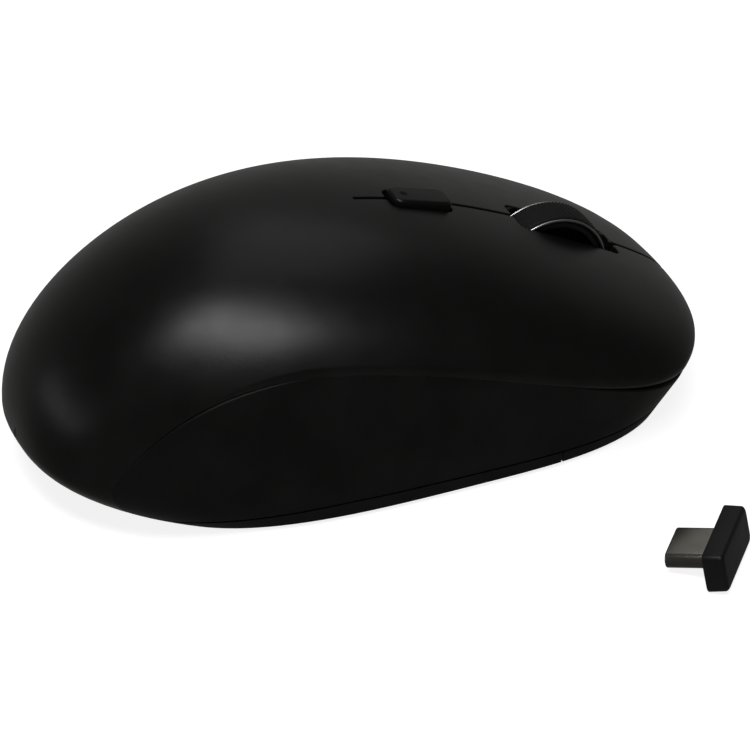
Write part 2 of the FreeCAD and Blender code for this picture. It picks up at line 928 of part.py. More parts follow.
turned(
    "wheel_axle",
    [
        (-dim.axle_half_length, 0),
        (dim.axle_half_length, 0),
        (dim.axle_half_length, dim.axle_radius),
        (half_tyre, dim.axle_radius),
        (half_tyre, dim.hub_bore_radius),
        (-half_tyre, dim.hub_bore_radius),
        (-half_tyre, dim.axle_radius),
        (-dim.axle_half_length, dim.axle_radius),
    ],
)
for side, name in ((-1, "wheel_ring_left"), (1, "wheel_ring_right")):
    near, far = side * half_tyre, side * (half_tyre + dim.ring_width)
    turned(
        name,
        [
            (near, dim.ring_inner_radius),
            (far, dim.ring_inner_radius),
            (far, dim.ring_radius - ring_chamfer),
            (side * (half_tyre + dim.ring_width - ring_chamfer), dim.ring_radius),
            (near, dim.ring_radius),
        ],
    )

bar_bottom = dim.wheel_height - dim.bar_drop
arm_height = dim.arm_rise + dim.bar_drop
arm_x = dim.carriage_inner + dim.carriage_wall / 2
full_width = 2 * (dim.carriage_inner + dim.carriage_wall)
carriage_parts = []


def carriage_part(name, width, length, height, x, y, z):
    carriage_parts.append(box(name, width, length, height, x, y, z))


for side in (-1, 1):
    x = side * arm_x
    carriage_part("carriage_arm", dim.carriage_wall, dim.arm_length, arm_height, x, dim.wheel_y, bar_bottom)
    reach = 2 * dim.carriage_reach
    carriage_part("carriage_bar", dim.carriage_wall, reach, dim.bar_height, x, dim.wheel_y, bar_bottom)
    y = dim.wheel_y + side * (dim.carriage_reach - dim.carriage_wall / 2)
    wall = dim.carriage_wall
    carriage_part("carriage_cross", full_width, wall, dim.bar_height, Size(0, "0"), y, bar_bottom)
# A foot beside the wheel reaches over the wheel's own switch.
foot_bottom = bar_bottom + dim.bar_height
carriage_part(
    "carriage_foot",
    dim.foot_plate_width,
    dim.foot_plate_length,
    dim.foot_plate_height,
    -dim.carriage_inner - dim.foot_plate_width / 2 - 0.7,
    dim.wheel_y - dim.wheel_switch_setback,
    foot_bottom,
)
carriage_bore = cylinder(
    "carriage_bore",
    dim.axle_radius + dim.carriage_clearance,
    40,
    Size(-20, "-20"),
    dim.wheel_y,
    dim.wheel_height,
    (0, 1, 0),
    90,
)
carriage = cut("carriage", fused("carriage_blank", carriage_parts), carriage_bore)
node(carriage, "wheel_carriage")

# The rotary encoder grips the axle's right end and rides in the carriage.
encoder_x = dim.carriage_inner + dim.carriage_wall + dim.encoder_width / 2 + 0.1
encoder_bottom = dim.wheel_height - dim.encoder_drop
encoder_block = box(
    "encoder_block",
    dim.encoder_width,
    dim.encoder_length,
    dim.encoder_height,
    encoder_x,
    dim.wheel_y,
    encoder_bottom,
)
encoder_bore = cylinder(
    "encoder_bore",
    dim.axle_radius + dim.carriage_clearance,
    20,
    dim.carriage_inner,
    dim.wheel_y,
    dim.wheel_height,
    (0, 1, 0),
    90,
)
node(cut("encoder", encoder_block, encoder_bore), "scroll_encoder")


# ---------------------------------------------------------------- resolution button group

button_height = dome_height_at(0, value_of("button_y"))


def on_slope(body):
    """Places a body on the crest at the resolution button, tilted with the surface."""
    place(body, Size(0, "0"), dim.button_y, button_height, (1, 0, 0), BUTTON_TURN)


def slope_block(name, width, length, low, height, y=0.0):
    """A block in the resolution button's own tilted frame."""
    body = new_body(name)
    sketch = new_sketch(body, "XY_Plane", name + "_outline", low)
    rectangle(sketch, width, length, 0, y)
    pad(body, sketch, height, name + "_pad")
    on_slope(body)
    return body


body = slope_block(
    "dpi_button", dim.button_width, dim.button_length, dim.button_proud - dim.button_depth, dim.button_depth
)
rounded(body, body.Tip, (0, 0, 1), dim.button_corner, "dpi_button_corners")
hollow = new_sketch(body, "XY_Plane", "dpi_button_hollow", dim.button_proud - dim.button_depth)
rectangle(
    hollow,
    dim.button_width - 2 * dim.button_wall,
    dim.button_length - 2 * dim.button_wall,
)
hollow_depth = dim.button_depth - 1.2
pocket(body, hollow, hollow_depth, "dpi_button_inside", True)
light = new_sketch(body, "XY_Plane", "dpi_button_light_hole", dim.button_proud - dim.button_depth)
circle(light, dim.light_radius, 0, 1.2 - dim.button_length / 2 + dim.button_wall)
pocket(body, light, dim.button_depth, "dpi_button_light", True)
node(body, "dpi_button")

body = new_body("status_light_lens")
sketch = new_sketch(body, "XY_Plane", "light_outline", dim.button_proud - 1.2)
circle(sketch, dim.light_radius, 0, 1.2 - dim.button_length / 2 + dim.button_wall)
pad(body, sketch, 1.25, "light_pad")
on_slope(body)
node(body, "status_light_lens")

dpi_bottom = -dim.dpi_switch_drop
body = slope_block(
    "dpi_switch",
    dim.dpi_switch_width,
    dim.dpi_switch_length,
    dpi_bottom,
    dim.dpi_switch_height,
    dim.dpi_switch_offset,
)
well = new_sketch(body, "XY_Plane", "dpi_switch_well", dpi_bottom + dim.dpi_switch_height)
circle(well, dim.dpi_plunger_radius + 0.15, 0, dim.dpi_switch_offset)
pocket(body, well, dim.dpi_switch_height - 0.25, "dpi_switch_hole")
node(body, "dpi_switch")

body = new_body("dpi_plunger")
sketch = new_sketch(body, "XY_Plane", "dpi_plunger_outline", dpi_bottom + dim.dpi_switch_height - 0.6)
circle(sketch, dim.dpi_plunger_radius, 0, dim.dpi_switch_offset)
pad(body, sketch, dim.dpi_plunger_length, "dpi_plunger_pad")
on_slope(body)
node(body, "dpi_plunger")


# ---------------------------------------------------------------- board, switches and chips

board_top = dim.board_bottom + dim.board_thickness
body = new_body("main_board")
sketch = new_sketch(body, "XY_Plane", "main_board_outline", dim.board_bottom)
polygon(
    sketch,
    [
        (-7, 14.5),
        (-7, -8),
        (19, -8),
        (21, 12),
        (21, 22),
        (17, 29.2),
        (-17, 29.2),
        (-21, 22),
        (-21, 14.5),
    ],
)
pad(body, sketch, dim.board_thickness, "main_board_pad")
sketch = new_sketch(body, "XY_Plane", "main_board_window", dim.board_bottom)
rectangle(sketch, dim.sensor_width + 0.4, dim.sensor_length + 0.4)
pocket(body, sketch, dim.board_thickness, "main_board_sensor_window", True)
node(body, "main_board")


def micro_switch(name, x, y, height):
    """A snap-action switch standing on the board, with a well for its plunger."""
    body = new_body(name)
    sketch = new_sketch(body, "XY_Plane", name + "_outline")
    rectangle(sketch, dim.switch_width, dim.switch_length)
    pad(body, sketch, height, name + "_case")
    sketch = new_sketch(body, "XY_Plane", name + "_well", height)
    rectangle(sketch, dim.plunger_width + 0.5, dim.plunger_length + 1.4)
    pocket(body, sketch, dim.plunger_slot, name + "_well_cut")
    place(body, x, y, board_top)
    return node(body, name)


def switch_plunger(name, x, y, height):
    """The small button of a micro switch; it touches the piece that presses it."""
    body = new_body(name)
    sketch = new_sketch(body, "XY_Plane", name + "_outline", height - dim.plunger_depth)
    rectangle(sketch, dim.plunger_width, dim.plunger_length)
    pad(body, sketch, dim.plunger_depth + dim.plunger_rise, name + "_pad")
    place(body, x, y, board_top)
    return node(body, name)


micro_switch("micro_switch_left", -dim.switch_x, dim.switch_y, dim.switch_height)
switch_plunger("switch_plunger_left", -dim.switch_x, dim.switch_y, dim.switch_height)
micro_switch("micro_switch_right", dim.switch_x, dim.switch_y, dim.switch_height)
switch_plunger("switch_plunger_right", dim.switch_x, dim.switch_y, dim.switch_height)


def resting_block(name, width, length, height, x, y, z, corner=0.0):
    """A block standing on z, as a padded sketch, with rounded upright edges where asked."""
    body = new_body(name)
    sketch = new_sketch(body, "XY_Plane", name + "_outline")
    rectangle(sketch, width, length)
    last = pad(body, sketch, height, name + "_pad")
    if number(corner) > 0:
        rounded(body, last, (0, 0, 1), corner, name + "_corners")
    place(body, x, y, z)
    return node(body, name)


# The middle switch lies below the carriage's foot, so it is a low one.
wheel_switch_x = -dim.carriage_inner - 3.4
wheel_switch_y = dim.wheel_y - dim.wheel_switch_setback
body = new_body("wheel_switch")
sketch = new_sketch(body, "XY_Plane", "wheel_switch_outline")
rectangle(sketch, dim.wheel_switch_width, dim.wheel_switch_length)
pad(body, sketch, dim.wheel_switch_height, "wheel_switch_case")
sketch = new_sketch(body, "XY_Plane", "wheel_switch_well", dim.wheel_switch_height)
circle(sketch, dim.wheel_plunger_radius + 0.15)
pocket(body, sketch, dim.wheel_switch_depth, "wheel_switch_hole")
place(body, wheel_switch_x, wheel_switch_y, board_top)
node(body, "wheel_switch")
body = new_body("wheel_switch_plunger")
sketch = new_sketch(body, "XY_Plane", "wheel_switch_plunger_outline")
circle(sketch, dim.wheel_plunger_radius)
pad(body, sketch, foot_bottom - board_top - dim.wheel_switch_depth, "wheel_switch_plunger_pad")
place(body, wheel_switch_x, wheel_switch_y, board_top + dim.wheel_switch_depth)
node(body, "wheel_switch_plunger")

# The sensor's chip fills the board's window, above its lens in the tongue's aperture.
plate_low = dim.base_level + dim.floor_thickness
body = new_body("sensor_lens")
sketch = new_sketch(body, "XY_Plane", "lens_outline", plate_low)
rectangle(sketch, dim.lens_width, dim.lens_length)
pad(body, sketch, dim.lens_plate, "lens_plate")
sketch = new_sketch(body, "XY_Plane", "lens_window", plate_low - 1.2)
rectangle(sketch, dim.window_width, dim.window_length)
pad(body, sketch, 1.4, "lens_window_pad")
sketch = new_sketch(body, "XY_Plane", "lens_barrel", plate_low + dim.lens_plate)
circle(sketch, 1.8)
pad(body, sketch, 1.3, "lens_barrel_pad")
node(body, "sensor_lens")

sensor_bottom = plate_low + dim.lens_plate + 1.4
resting_block(
    "optical_sensor", dim.sensor_width, dim.sensor_length, dim.sensor_height, 0, 0, sensor_bottom, 0.3
)
led_height = board_top + dim.led_radius + 0.2
led = cylinder(
    "led_barrel", dim.led_radius, dim.led_length, Size(0, "0"), dim.led_rear_y, led_height, (1, 0, 0), -90
)
node(led, "sensor_led")
resting_block(
    "controller_chip",
    dim.chip_side,
    dim.chip_side,
    dim.chip_height,
    dim.chip_x,
    dim.chip_y,
    board_top,
    0.2,
)
resting_block(
    "clock_crystal",
    dim.crystal_width,
    dim.crystal_length,
    dim.crystal_height,
    dim.chip_x,
    dim.crystal_y,
    board_top,
    0.3,
)
capacitor = cylinder(
    "capacitor_can",
    dim.capacitor_radius,
    dim.capacitor_height,
    dim.capacitor_x,
    dim.capacitor_y,
    board_top,
)
node(capacitor, "filter_capacitor")

slider_top = plate_low + 0.9
body = new_body("power_slider")
sketch = new_sketch(body, "XY_Plane", "slider_knob", dim.base_level)
rectangle(sketch, dim.slider_length, dim.slider_width)
pad(body, sketch, dim.floor_thickness + 0.3, "slider_knob_pad")
sketch = new_sketch(body, "XY_Plane", "slider_flange", plate_low + 0.1)
rectangle(sketch, dim.slider_length + 3, dim.slider_width + 2)
pad(body, sketch, 0.8, "slider_flange_pad")
place(body, dim.slider_x, dim.slider_y, 0)
node(body, "power_slider")
resting_block(
    "power_switch",
    9,
    4,
    dim.board_bottom - slider_top - 0.2,
    dim.slider_x + dim.slider_travel / 2,
    dim.slider_y,
    slider_top + 0.2,
)


# ---------------------------------------------------------------- battery and its contacts

body = new_body("battery_cell")
sketch = new_sketch(body, "YZ_Plane", "battery_profile")
nub_end = dim.battery_length + dim.battery_nub
polygon(
    sketch,
    [
        (0, 0),
        (nub_end, 0),
        (nub_end, dim.battery_nub_radius),
        (dim.battery_length, dim.battery_nub_radius),
        (dim.battery_length, dim.battery_radius),
        (0, dim.battery_radius),
    ],
)
revolved(body, sketch, "H_Axis", "battery_turned")
place(body, dim.battery_x, dim.battery_rear_y, dim.battery_height)
node(body, "battery_cell")


def make_spring():
    """The coil that presses on the cell's flat end, with its axis along Y."""
    radius, wire = value_of("spring_radius"), value_of("spring_wire")
    length = value_of("battery_rear_y") - value_of("bay_rear_y") - 2 * wire
    helix = Part.makeHelix(length / value_of("spring_turns"), length, radius)
    ring = Part.Wire([Part.Circle(vector(radius, 0, 0), vector(0, 1, 0), wire).toShape()])
    coil = Part.Wire(helix).makePipeShell([ring], True, True)
    coil.rotate(vector(0, 0, 0), vector(1, 0, 0), -90)
    coil.translate(
        vector(
            value_of("battery_x"),
            value_of("bay_rear_y") + wire,
            value_of("battery_height"),
        )
    )
    return coil


node(shaped("battery_spring", make_spring()), "battery_spring")
contact_y = dim.bay_front_y - dim.contact_thickness / 2 - 0.05
contact = box(
    "contact_plate",
    dim.contact_side,
    dim.contact_thickness,
    dim.contact_side,
    dim.battery_x,
    contact_y,
    dim.battery_height - dim.contact_side / 2,
)
node(contact, "battery_plate_contact")


# ---------------------------------------------------------------- feet and screws


def foot(name, y):
    """A low-friction pad under the base."""
    resting_block(name, dim.foot_length, dim.foot_width, dim.base_level, 0, y, 0, 2.2)


foot("glide_foot_front", dim.foot_y_front)
foot("glide_foot_rear", dim.foot_y_rear)
body = new_body("glide_ring")
sketch = new_sketch(body, "XY_Plane", "glide_ring_outline")
circle(sketch, dim.ring_foot_outer)
circle(sketch, dim.ring_foot_inner)
pad(body, sketch, dim.base_level, "glide_ring_pad")
node(body, "glide_ring")


def make_screws():
    """Four pan-head screws with a cross recess, driven up from below."""
    screws = []
    for x, y, seat in screw_places():
        head = value_of("screw_head")
        screw = post(value_of("screw_head_radius"), x, y, seat, seat + head)
        shank = post(value_of("screw_radius"), x, y, seat, seat + value_of("screw_length"))
        screw = screw.fuse(shank)
        for wide, long in ((0.4, 1.8), (1.8, 0.4)):
            slot = block(x - wide / 2, x + wide / 2, y - long / 2, y + long / 2, 0, seat + 0.5)
            screw = screw.cut(slot)
        screws.append(screw)
    return Part.makeCompound(screws)


node(shaped("housing_screws", make_screws()), "housing_screws")


# ---------------------------------------------------------------- receiver


def receiver_frame():
    """Placement of the receiver: origin at the cap's inner face, plug along -X of its own frame."""
    turn = FreeCAD.Rotation(vector(0, 0, 1), value_of("receiver_turn"))
    tilt = FreeCAD.Rotation(vector(0, 1, 0), -value_of("receiver_tilt"))
    angle = math.radians(value_of("receiver_tilt"))
    lift = value_of("cap_height") / 2 * math.cos(angle)
    spot = vector(value_of("receiver_x"), value_of("receiver_y"), lift)
    return FreeCAD.Placement(spot, turn.multiply(tilt))


def receiver_body(name):
    body = new_body(name)
    body.Placement = receiver_frame()
    body.setExpression("Placement.Base.x", "dims.receiver_x")
    body.setExpression("Placement.Base.y", "dims.receiver_y")
    return body


body = receiver_body("receiver_cap")
sketch = new_sketch(body, "YZ_Plane", "cap_outline")
rectangle(sketch, dim.cap_width, dim.cap_height)
drafted = pad(body, sketch, dim.cap_depth, "cap_pad")
drafted.setExpression("TaperAngle", "-dims.cap_draft")
rounded(body, drafted, (1, 0, 0), dim.cap_corner, "cap_corners", 20)
sketch = new_sketch(body, "YZ_Plane", "cap_socket")
rectangle(sketch, dim.plug_width, dim.plug_height)
pocket(body, sketch, dim.plug_root, "cap_socket_cut", True)
node(body, "receiver_cap")

body = receiver_body("receiver_plug_shell")
sketch = new_sketch(body, "YZ_Plane", "plug_outline", -dim.plug_length)
rectangle(sketch, dim.plug_width, dim.plug_height)
pad(body, sketch, dim.plug_length + dim.plug_root, "plug_pad")
rounded(body, body.Tip, (1, 0, 0), dim.plug_height / 2 - 0.01, "plug_round")
sketch = new_sketch(body, "YZ_Plane", "plug_hollow", -dim.plug_length)
rectangle(sketch, dim.plug_width - 4 * dim.plug_wall, dim.plug_height - 2 * dim.plug_wall)
pocket(body, sketch, dim.plug_length + dim.plug_root, "plug_hollow_cut", True)
node(body, "receiver_plug_shell")

# The insulator lines the shell's root and leaves the mating cavity free.
body = receiver_body("receiver_insulator")
sketch = new_sketch(body, "YZ_Plane", "insulator_outline", -dim.contact_start)
rectangle(sketch, dim.plug_width - 4 * dim.plug_wall - 0.1, dim.plug_height - 2 * dim.plug_wall - 0.1)
pad(body, sketch, dim.contact_start + dim.plug_root - 0.2, "insulator_pad")
node(body, "receiver_insulator")

CONTACT_COUNT = 8
contact_bars = []
half_width, rise = value_of("contact_width") / 2, value_of("contact_rise")
contact_edge = value_of("plug_height") / 2 - value_of("plug_wall") - 0.2
tip = value_of("contact_setback") - value_of("plug_length")
for row in (-1, 1):
    for i in range(CONTACT_COUNT):
        y = (i - (CONTACT_COUNT - 1) / 2) * value_of("contact_pitch")
        low = row * contact_edge - rise / 2
        root = -value_of("contact_start")
        contact_bars.append(block(tip, root, y - half_width, y + half_width, low, low + rise))
contacts = shaped("receiver_contacts", Part.makeCompound(contact_bars))
contacts.Placement = receiver_frame()
node(contacts, "receiver_contacts")


# ---------------------------------------------------------------- check and write

doc.recompute()
for item in doc.Objects:
    if "Invalid" in item.State or "Error" in item.State:
        raise RuntimeError("%s failed: %s" % (item.Name, item.State))
for item in NODES:
    if item.Shape.isNull() or not item.Shape.isValid() or not item.Shape.Solids:
        raise RuntimeError("%s has no valid solid" % item.Label)
os.makedirs("parts", exist_ok=True)
for item in NODES:
    item.Shape.exportStep("parts/%s.step" % item.Label)
    print("%-22s %2d solid %9.2f mm3" % (item.Label, len(item.Shape.Solids), item.Shape.Volume))
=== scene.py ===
"""Looks of the cordless mouse and its receiver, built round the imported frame.

Lengths in the formulas are millimetres; MM turns them into Blender's metres.
"""

import json
import math

import bmesh
import bpy
import numpy as np
from mathutils import Matrix, Quaternion, Vector


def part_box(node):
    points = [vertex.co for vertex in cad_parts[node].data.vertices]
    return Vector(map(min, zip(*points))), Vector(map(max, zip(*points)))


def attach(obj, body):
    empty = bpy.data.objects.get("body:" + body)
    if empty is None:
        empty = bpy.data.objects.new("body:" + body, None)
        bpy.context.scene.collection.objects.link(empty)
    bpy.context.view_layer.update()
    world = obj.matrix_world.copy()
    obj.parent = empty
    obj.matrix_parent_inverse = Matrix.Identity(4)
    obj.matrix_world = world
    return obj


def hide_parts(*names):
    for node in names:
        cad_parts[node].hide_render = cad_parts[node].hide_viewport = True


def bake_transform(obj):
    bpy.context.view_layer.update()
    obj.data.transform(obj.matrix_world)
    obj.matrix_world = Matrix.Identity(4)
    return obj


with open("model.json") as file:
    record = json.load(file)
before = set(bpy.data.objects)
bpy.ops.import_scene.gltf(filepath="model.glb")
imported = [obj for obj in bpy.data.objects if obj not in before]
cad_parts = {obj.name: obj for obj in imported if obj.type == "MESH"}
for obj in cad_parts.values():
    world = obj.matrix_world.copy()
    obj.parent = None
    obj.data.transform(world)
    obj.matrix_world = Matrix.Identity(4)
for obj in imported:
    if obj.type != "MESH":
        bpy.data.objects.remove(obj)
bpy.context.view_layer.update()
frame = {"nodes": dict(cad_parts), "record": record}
NODES = frame["nodes"]
MM = 0.001

# ---------------------------------------------------------------- the body's formula

MIDDLE_Y = -9.3
HALF_LENGTH = 52.0
HALF_WIDTH = 33.0
HEIGHT = 36.4
EQUATOR = 9.5
SECTION = 2.13
PLAN_ROUNDNESS = 0.82
PLAN_TAPER, PLAN_FULLNESS = 0.155, 0.12
PROFILE_ROUNDNESS = 0.966
PROFILE_TILT, PROFILE_DROP, PROFILE_TWIST = 0.384, 0.263, 0.055
BASE_LEVEL = 0.8
BASE_HALF_WIDTH = 27.0
BASE_REAR = 48.6
BASE_FRONT = 36.4
BASE_POWER = 3.2
TUCK = 14.0
POLE_Y = -8.0
ARCH_TOP_Y = -25.0
ARCH_TOP = 25.4
ARCH_REAR_RUN = 30.5
ARCH_FRONT_RUN = 59.5
ARCH_FRONT = 9.7
ARCH_REAR_POWER = 2.2
ARCH_FRONT_POWERS = (1.72, 1.2)
PANEL_BOTTOM = 2.95
HINGE_Y = -8.3
LIP = 1.0
FRONT_LIP = 0.3
LIP_FADE = (12.0, 36.0)
FLUSH_FADE = (-50.0, -18.0)
WIDEST = 90.0
HALVINGS = 42
SHELL_WALL = 1.6


def crest(y):
    """Plan half-width and top height of the dome at each y."""
    s = np.clip((y - MIDDLE_Y) / HALF_LENGTH, -1, 1)
    c = np.sqrt(1 - s * s)
    width = HALF_WIDTH * c**PLAN_ROUNDNESS * (1 + PLAN_TAPER * s + PLAN_FULLNESS * s * s)
    lean = 1 - PROFILE_TILT * s - PROFILE_DROP * s * s + PROFILE_TWIST * s**3
    top = EQUATOR + (HEIGHT - EQUATOR) * c**PROFILE_ROUNDNESS * lean
    return width, top


def dome_level(x, y, z):
    """Below 1 inside the dome, 1 on its surface, above 1 outside."""
    width, top = crest(y)
    across = np.abs(x) / np.maximum(width, 1e-9)
    up = np.maximum(z - EQUATOR, 0) / np.maximum(top - EQUATOR, 1e-9)
    beyond = np.abs(y - MIDDLE_Y) >= HALF_LENGTH
    return np.where(beyond, 2.0, across**SECTION + up**SECTION)


def base_level(x, y):
    """Below 1 inside the outline of the base, 1 on it, above 1 outside."""
    reach = np.where(y > 0, BASE_FRONT, BASE_REAR)
    return (np.abs(x) / BASE_HALF_WIDTH) ** BASE_POWER + (np.abs(y) / reach) ** BASE_POWER


def outline(turn, level):
    """Distance from the pole axis to where level reaches 1, towards each turn."""
    low, high = np.zeros_like(turn), np.full_like(turn, WIDEST)
    for _ in range(HALVINGS):
        middle = (low + high) / 2
        inside = level(middle * np.cos(turn), POLE_Y + middle * np.sin(turn)) < 1
        low, high = np.where(inside, middle, low), np.where(inside, high, middle)
    return low


def arch(y):
    """Height of the parting line between the top shell and the side band."""
    behind = np.clip((ARCH_TOP_Y - y) / ARCH_REAR_RUN, 0, 1)
    rear = ARCH_TOP * np.sqrt(1 - behind**ARCH_REAR_POWER)
    ahead = np.clip((y - ARCH_TOP_Y) / ARCH_FRONT_RUN, 0, 1)
    inner, outer = ARCH_FRONT_POWERS
    front = ARCH_FRONT + (ARCH_TOP - ARCH_FRONT) * (1 - ahead**inner) ** outer
    return np.where(y < ARCH_TOP_Y, rear, front)


def smooth(value, start, end):
    """Runs from 0 at start to 1 at end with level ends."""
    share = np.clip((value - start) / (end - start), 0, 1)
    return share * share * (3 - 2 * share)


def crease(turn):
    """Radius and height of the parting line towards each turn."""
    radius = outline(turn, lambda x, y: dome_level(x, y, np.maximum(arch(y), EQUATOR)))
    return radius, np.maximum(arch(POLE_Y + radius * np.sin(turn)), EQUATOR)


def full_radius(turn, z):
    """Radius of the whole body: the dome above the equator, the tuck below it."""
    above = outline(turn, lambda x, y: dome_level(x, y, np.maximum(z, EQUATOR)))
    base = outline(turn, base_level)
    sine = np.clip((EQUATOR - z) / TUCK, 0, 1)
    last = (EQUATOR - BASE_LEVEL) / TUCK
    least = math.sqrt(1 - last * last)
    tucked = base + (above - base) * (np.sqrt(1 - sine * sine) - least) / (1 - least)
    return np.where(z >= EQUATOR, above, tucked)


def band_radius(turn, z):
    """Radius of the side band: flush with the body behind, a set-back wall in front."""
    radius, height = crease(turn)
    base = outline(turn, base_level)
    share = (z - BASE_LEVEL) / (height - BASE_LEVEL)
    y = POLE_Y + radius * np.sin(turn)
    lip = LIP + (FRONT_LIP - LIP) * smooth(y, *LIP_FADE)
    wall = base + (radius - lip - base) * share
    weight = smooth(y, *FLUSH_FADE)
    flush = full_radius(turn, z)
    return flush + (wall - flush) * weight


def polar(turn, radius, z):
    """Points at turns and radii about the pole axis."""
    return np.stack([radius * np.cos(turn), POLE_Y + radius * np.sin(turn), z + 0 * turn], -1)


def rear_turn():
    """Turn at which the parting line comes down to the equator, on the right."""
    low, high = math.radians(-89), math.radians(-20)
    for _ in range(40):
        middle = np.array([(low + high) / 2])
        radius = full_radius(middle, np.array([EQUATOR]))
        if arch(POLE_Y + radius * np.sin(middle))[0] <= EQUATOR:
            low = middle[0]
        else:
            high = middle[0]
    return low


REAR_TURN = rear_turn()


def unit(vectors):
    """The vectors at length 1."""
    return vectors / np.maximum(np.linalg.norm(vectors, axis=-1, keepdims=True), 1e-12)


def dome_normal(points, step=0.02):
    """Outward normal of the dome by differences of its level."""
    columns = []
    for axis in range(3):
        shift = np.zeros(3)
        shift[axis] = step
        ahead, behind = points + shift, points - shift
        columns.append(dome_level(*ahead.T) - dome_level(*behind.T))
    return unit(np.stack(columns, -1))


def wall_normal(radius_at, points, step=0.02):
    """Outward normal of a wall given as a radius about the pole axis."""
    turn = np.arctan2(points[:, 1] - POLE_Y, points[:, 0])
    z = points[:, 2]
    swing = step / 40
    along = polar(turn + swing, radius_at(turn + swing, z), z)
    along = along - polar(turn - swing, radius_at(turn - swing, z), z)
    up = polar(turn, radius_at(turn, z + step), z + step)
    up = up - polar(turn, radius_at(turn, z - step), z - step)
    return unit(np.cross(along, up))


# ---------------------------------------------------------------- mesh helpers


def mesh_object(name, points, faces, material, normals=None):
    """A new object from points in millimetres."""
    mesh = bpy.data.meshes.new(name)
    mesh.from_pydata([tuple(p) for p in np.asarray(points, float) * MM], [], faces)
    mesh.validate()
    mesh.polygons.foreach_set("use_smooth", [True] * len(mesh.polygons))
    if normals is not None:
        mesh.normals_split_custom_set_from_vertices([tuple(n) for n in normals])
    mesh.materials.append(material)
    mesh.update()
    obj = bpy.data.objects.new(name, mesh)
    bpy.context.scene.collection.objects.link(obj)
    return obj


def clip(mesh, field):
    """Keeps the part of an open mesh where field is positive and cuts it exactly on field zero."""
    points = np.array([v.co for v in mesh.verts], float)
    values = field(points)
    values[np.abs(values) < 1e-5] = 0.0
    level = {v: value for v, value in zip(mesh.verts, values)}
    for edge in list(mesh.edges):
        a, b = edge.verts
        if level[a] * level[b] < 0:
            low, high = 0.0, 1.0
            start, end = np.array(a.co), np.array(b.co)
            for _ in range(24):
                middle = (low + high) / 2
                spot = start + (end - start) * middle
                if field(spot[None])[0] * level[a] > 0:
                    low = middle
                else:
                    high = middle
            _, fresh = bmesh.utils.edge_split(edge, a, low)
            level[fresh] = 0.0
    for face in list(mesh.faces):
        signs = [level[v] for v in face.verts]
        if min(signs) < 0 < max(signs):
            zero = [v for v in face.verts if level[v] == 0.0]
            if len(zero) >= 2:
                bmesh.utils.face_split(face, zero[0], zero[-1])
    doomed = [f for f in mesh.faces if min(level[v] for v in f.verts) < 0]
    bmesh.ops.delete(mesh, geom=doomed, context="FACES")
    loose = [v for v in mesh.verts if not v.link_faces]
    bmesh.ops.delete(mesh, geom=loose, context="VERTS")


RIM_STEPS = 5


def closed_shell(name, mesh, normal_of, edge_kind, wall, material):
    """Thickens an open surface and rolls its edges over.

    edge_kind gives, for the middle of a boundary edge, its kind and the radius of its roll.
    """
    mesh.verts.ensure_lookup_table()
    mesh.verts.index_update()
    outer = np.array([v.co for v in mesh.verts], float)
    normals = normal_of(outer)
    faces = [[v.index for v in face.verts] for face in mesh.faces]
    arms = {}
    rim_edges = []
    for edge in mesh.edges:
        if len(edge.link_faces) != 1:
            continue
        loop = next(item for item in edge.link_loops)
        a, b = loop.vert.index, loop.link_loop_next.vert.index
        rim_edges.append((a, b))
        middle = (outer[a] + outer[b]) / 2
        outward = unit(np.cross(outer[b] - outer[a], normals[a] + normals[b]))
        kind, radius = edge_kind(outer[a], outer[b], middle)
        arms.setdefault(a, []).append((kind, radius, outward))
        arms.setdefault(b, []).append((kind, radius, outward))
    ids = sorted(arms)
    slide, depth = np.zeros((len(ids), 3)), np.zeros(len(ids))
    for row, vertex in enumerate(ids):
        (kind_a, radius_a, arm_a), (kind_b, radius_b, arm_b) = arms[vertex][:2]
        if kind_a == kind_b:
            both = unit(arm_a + arm_b)
            mitre = min(1 / max(float(both @ arm_a), 0.5), 1.6)
            move = both * (radius_a + radius_b) / 2 * mitre
        else:
            move = arm_a * radius_a + arm_b * radius_b
            for kind, arm in ((kind_a, arm_a), (kind_b, arm_b)):
                if kind == "flat":
                    move = move - arm * float(move @ arm)
        slide[row] = move
        depth[row] = max(radius_a, radius_b, 0.2)
    points, out_normals = [outer], [normals]
    count = len(outer)
    rings = [{vertex: vertex for vertex in ids}]
    own, way = normals[ids], unit(slide)
    for step in range(1, RIM_STEPS + 2):
        angle = math.pi / 2 * min(step, RIM_STEPS) / RIM_STEPS
        spot = outer[ids] + slide * math.sin(angle) - own * (depth * (1 - math.cos(angle)))[:, None]
        if step > RIM_STEPS:
            spot = outer[ids] + slide - own * (wall - 0.1)
        points.append(spot)
        out_normals.append(unit(own * math.cos(angle) + way * math.sin(angle) + own * 1e-6))
        rings.append({vertex: count + row for row, vertex in enumerate(ids)})
        count += len(ids)
    points.append(outer - normals * wall)
    out_normals.append(-normals)
    rings.append({vertex: count + vertex for vertex in ids})
    all_faces = list(faces)
    for before, after in zip(rings, rings[1:]):
        for a, b in rim_edges:
            all_faces.append([before[b], before[a], after[a], after[b]])
    all_faces += [[count + v for v in reversed(face)] for face in faces]
    return mesh_object(name, np.concatenate(points), all_faces, material, np.concatenate(out_normals))


def grid_faces(rows, columns, wrap=False):
    """Quads of a grid stored row by row, with its columns joined round where wrap is set."""
    faces = []
    last = columns if wrap else columns - 1
    for i in range(rows - 1):
        for j in range(last):
            k = (j + 1) % columns
            faces.append([i * columns + j, i * columns + k, (i + 1) * columns + k, (i + 1) * columns + j])
    return faces


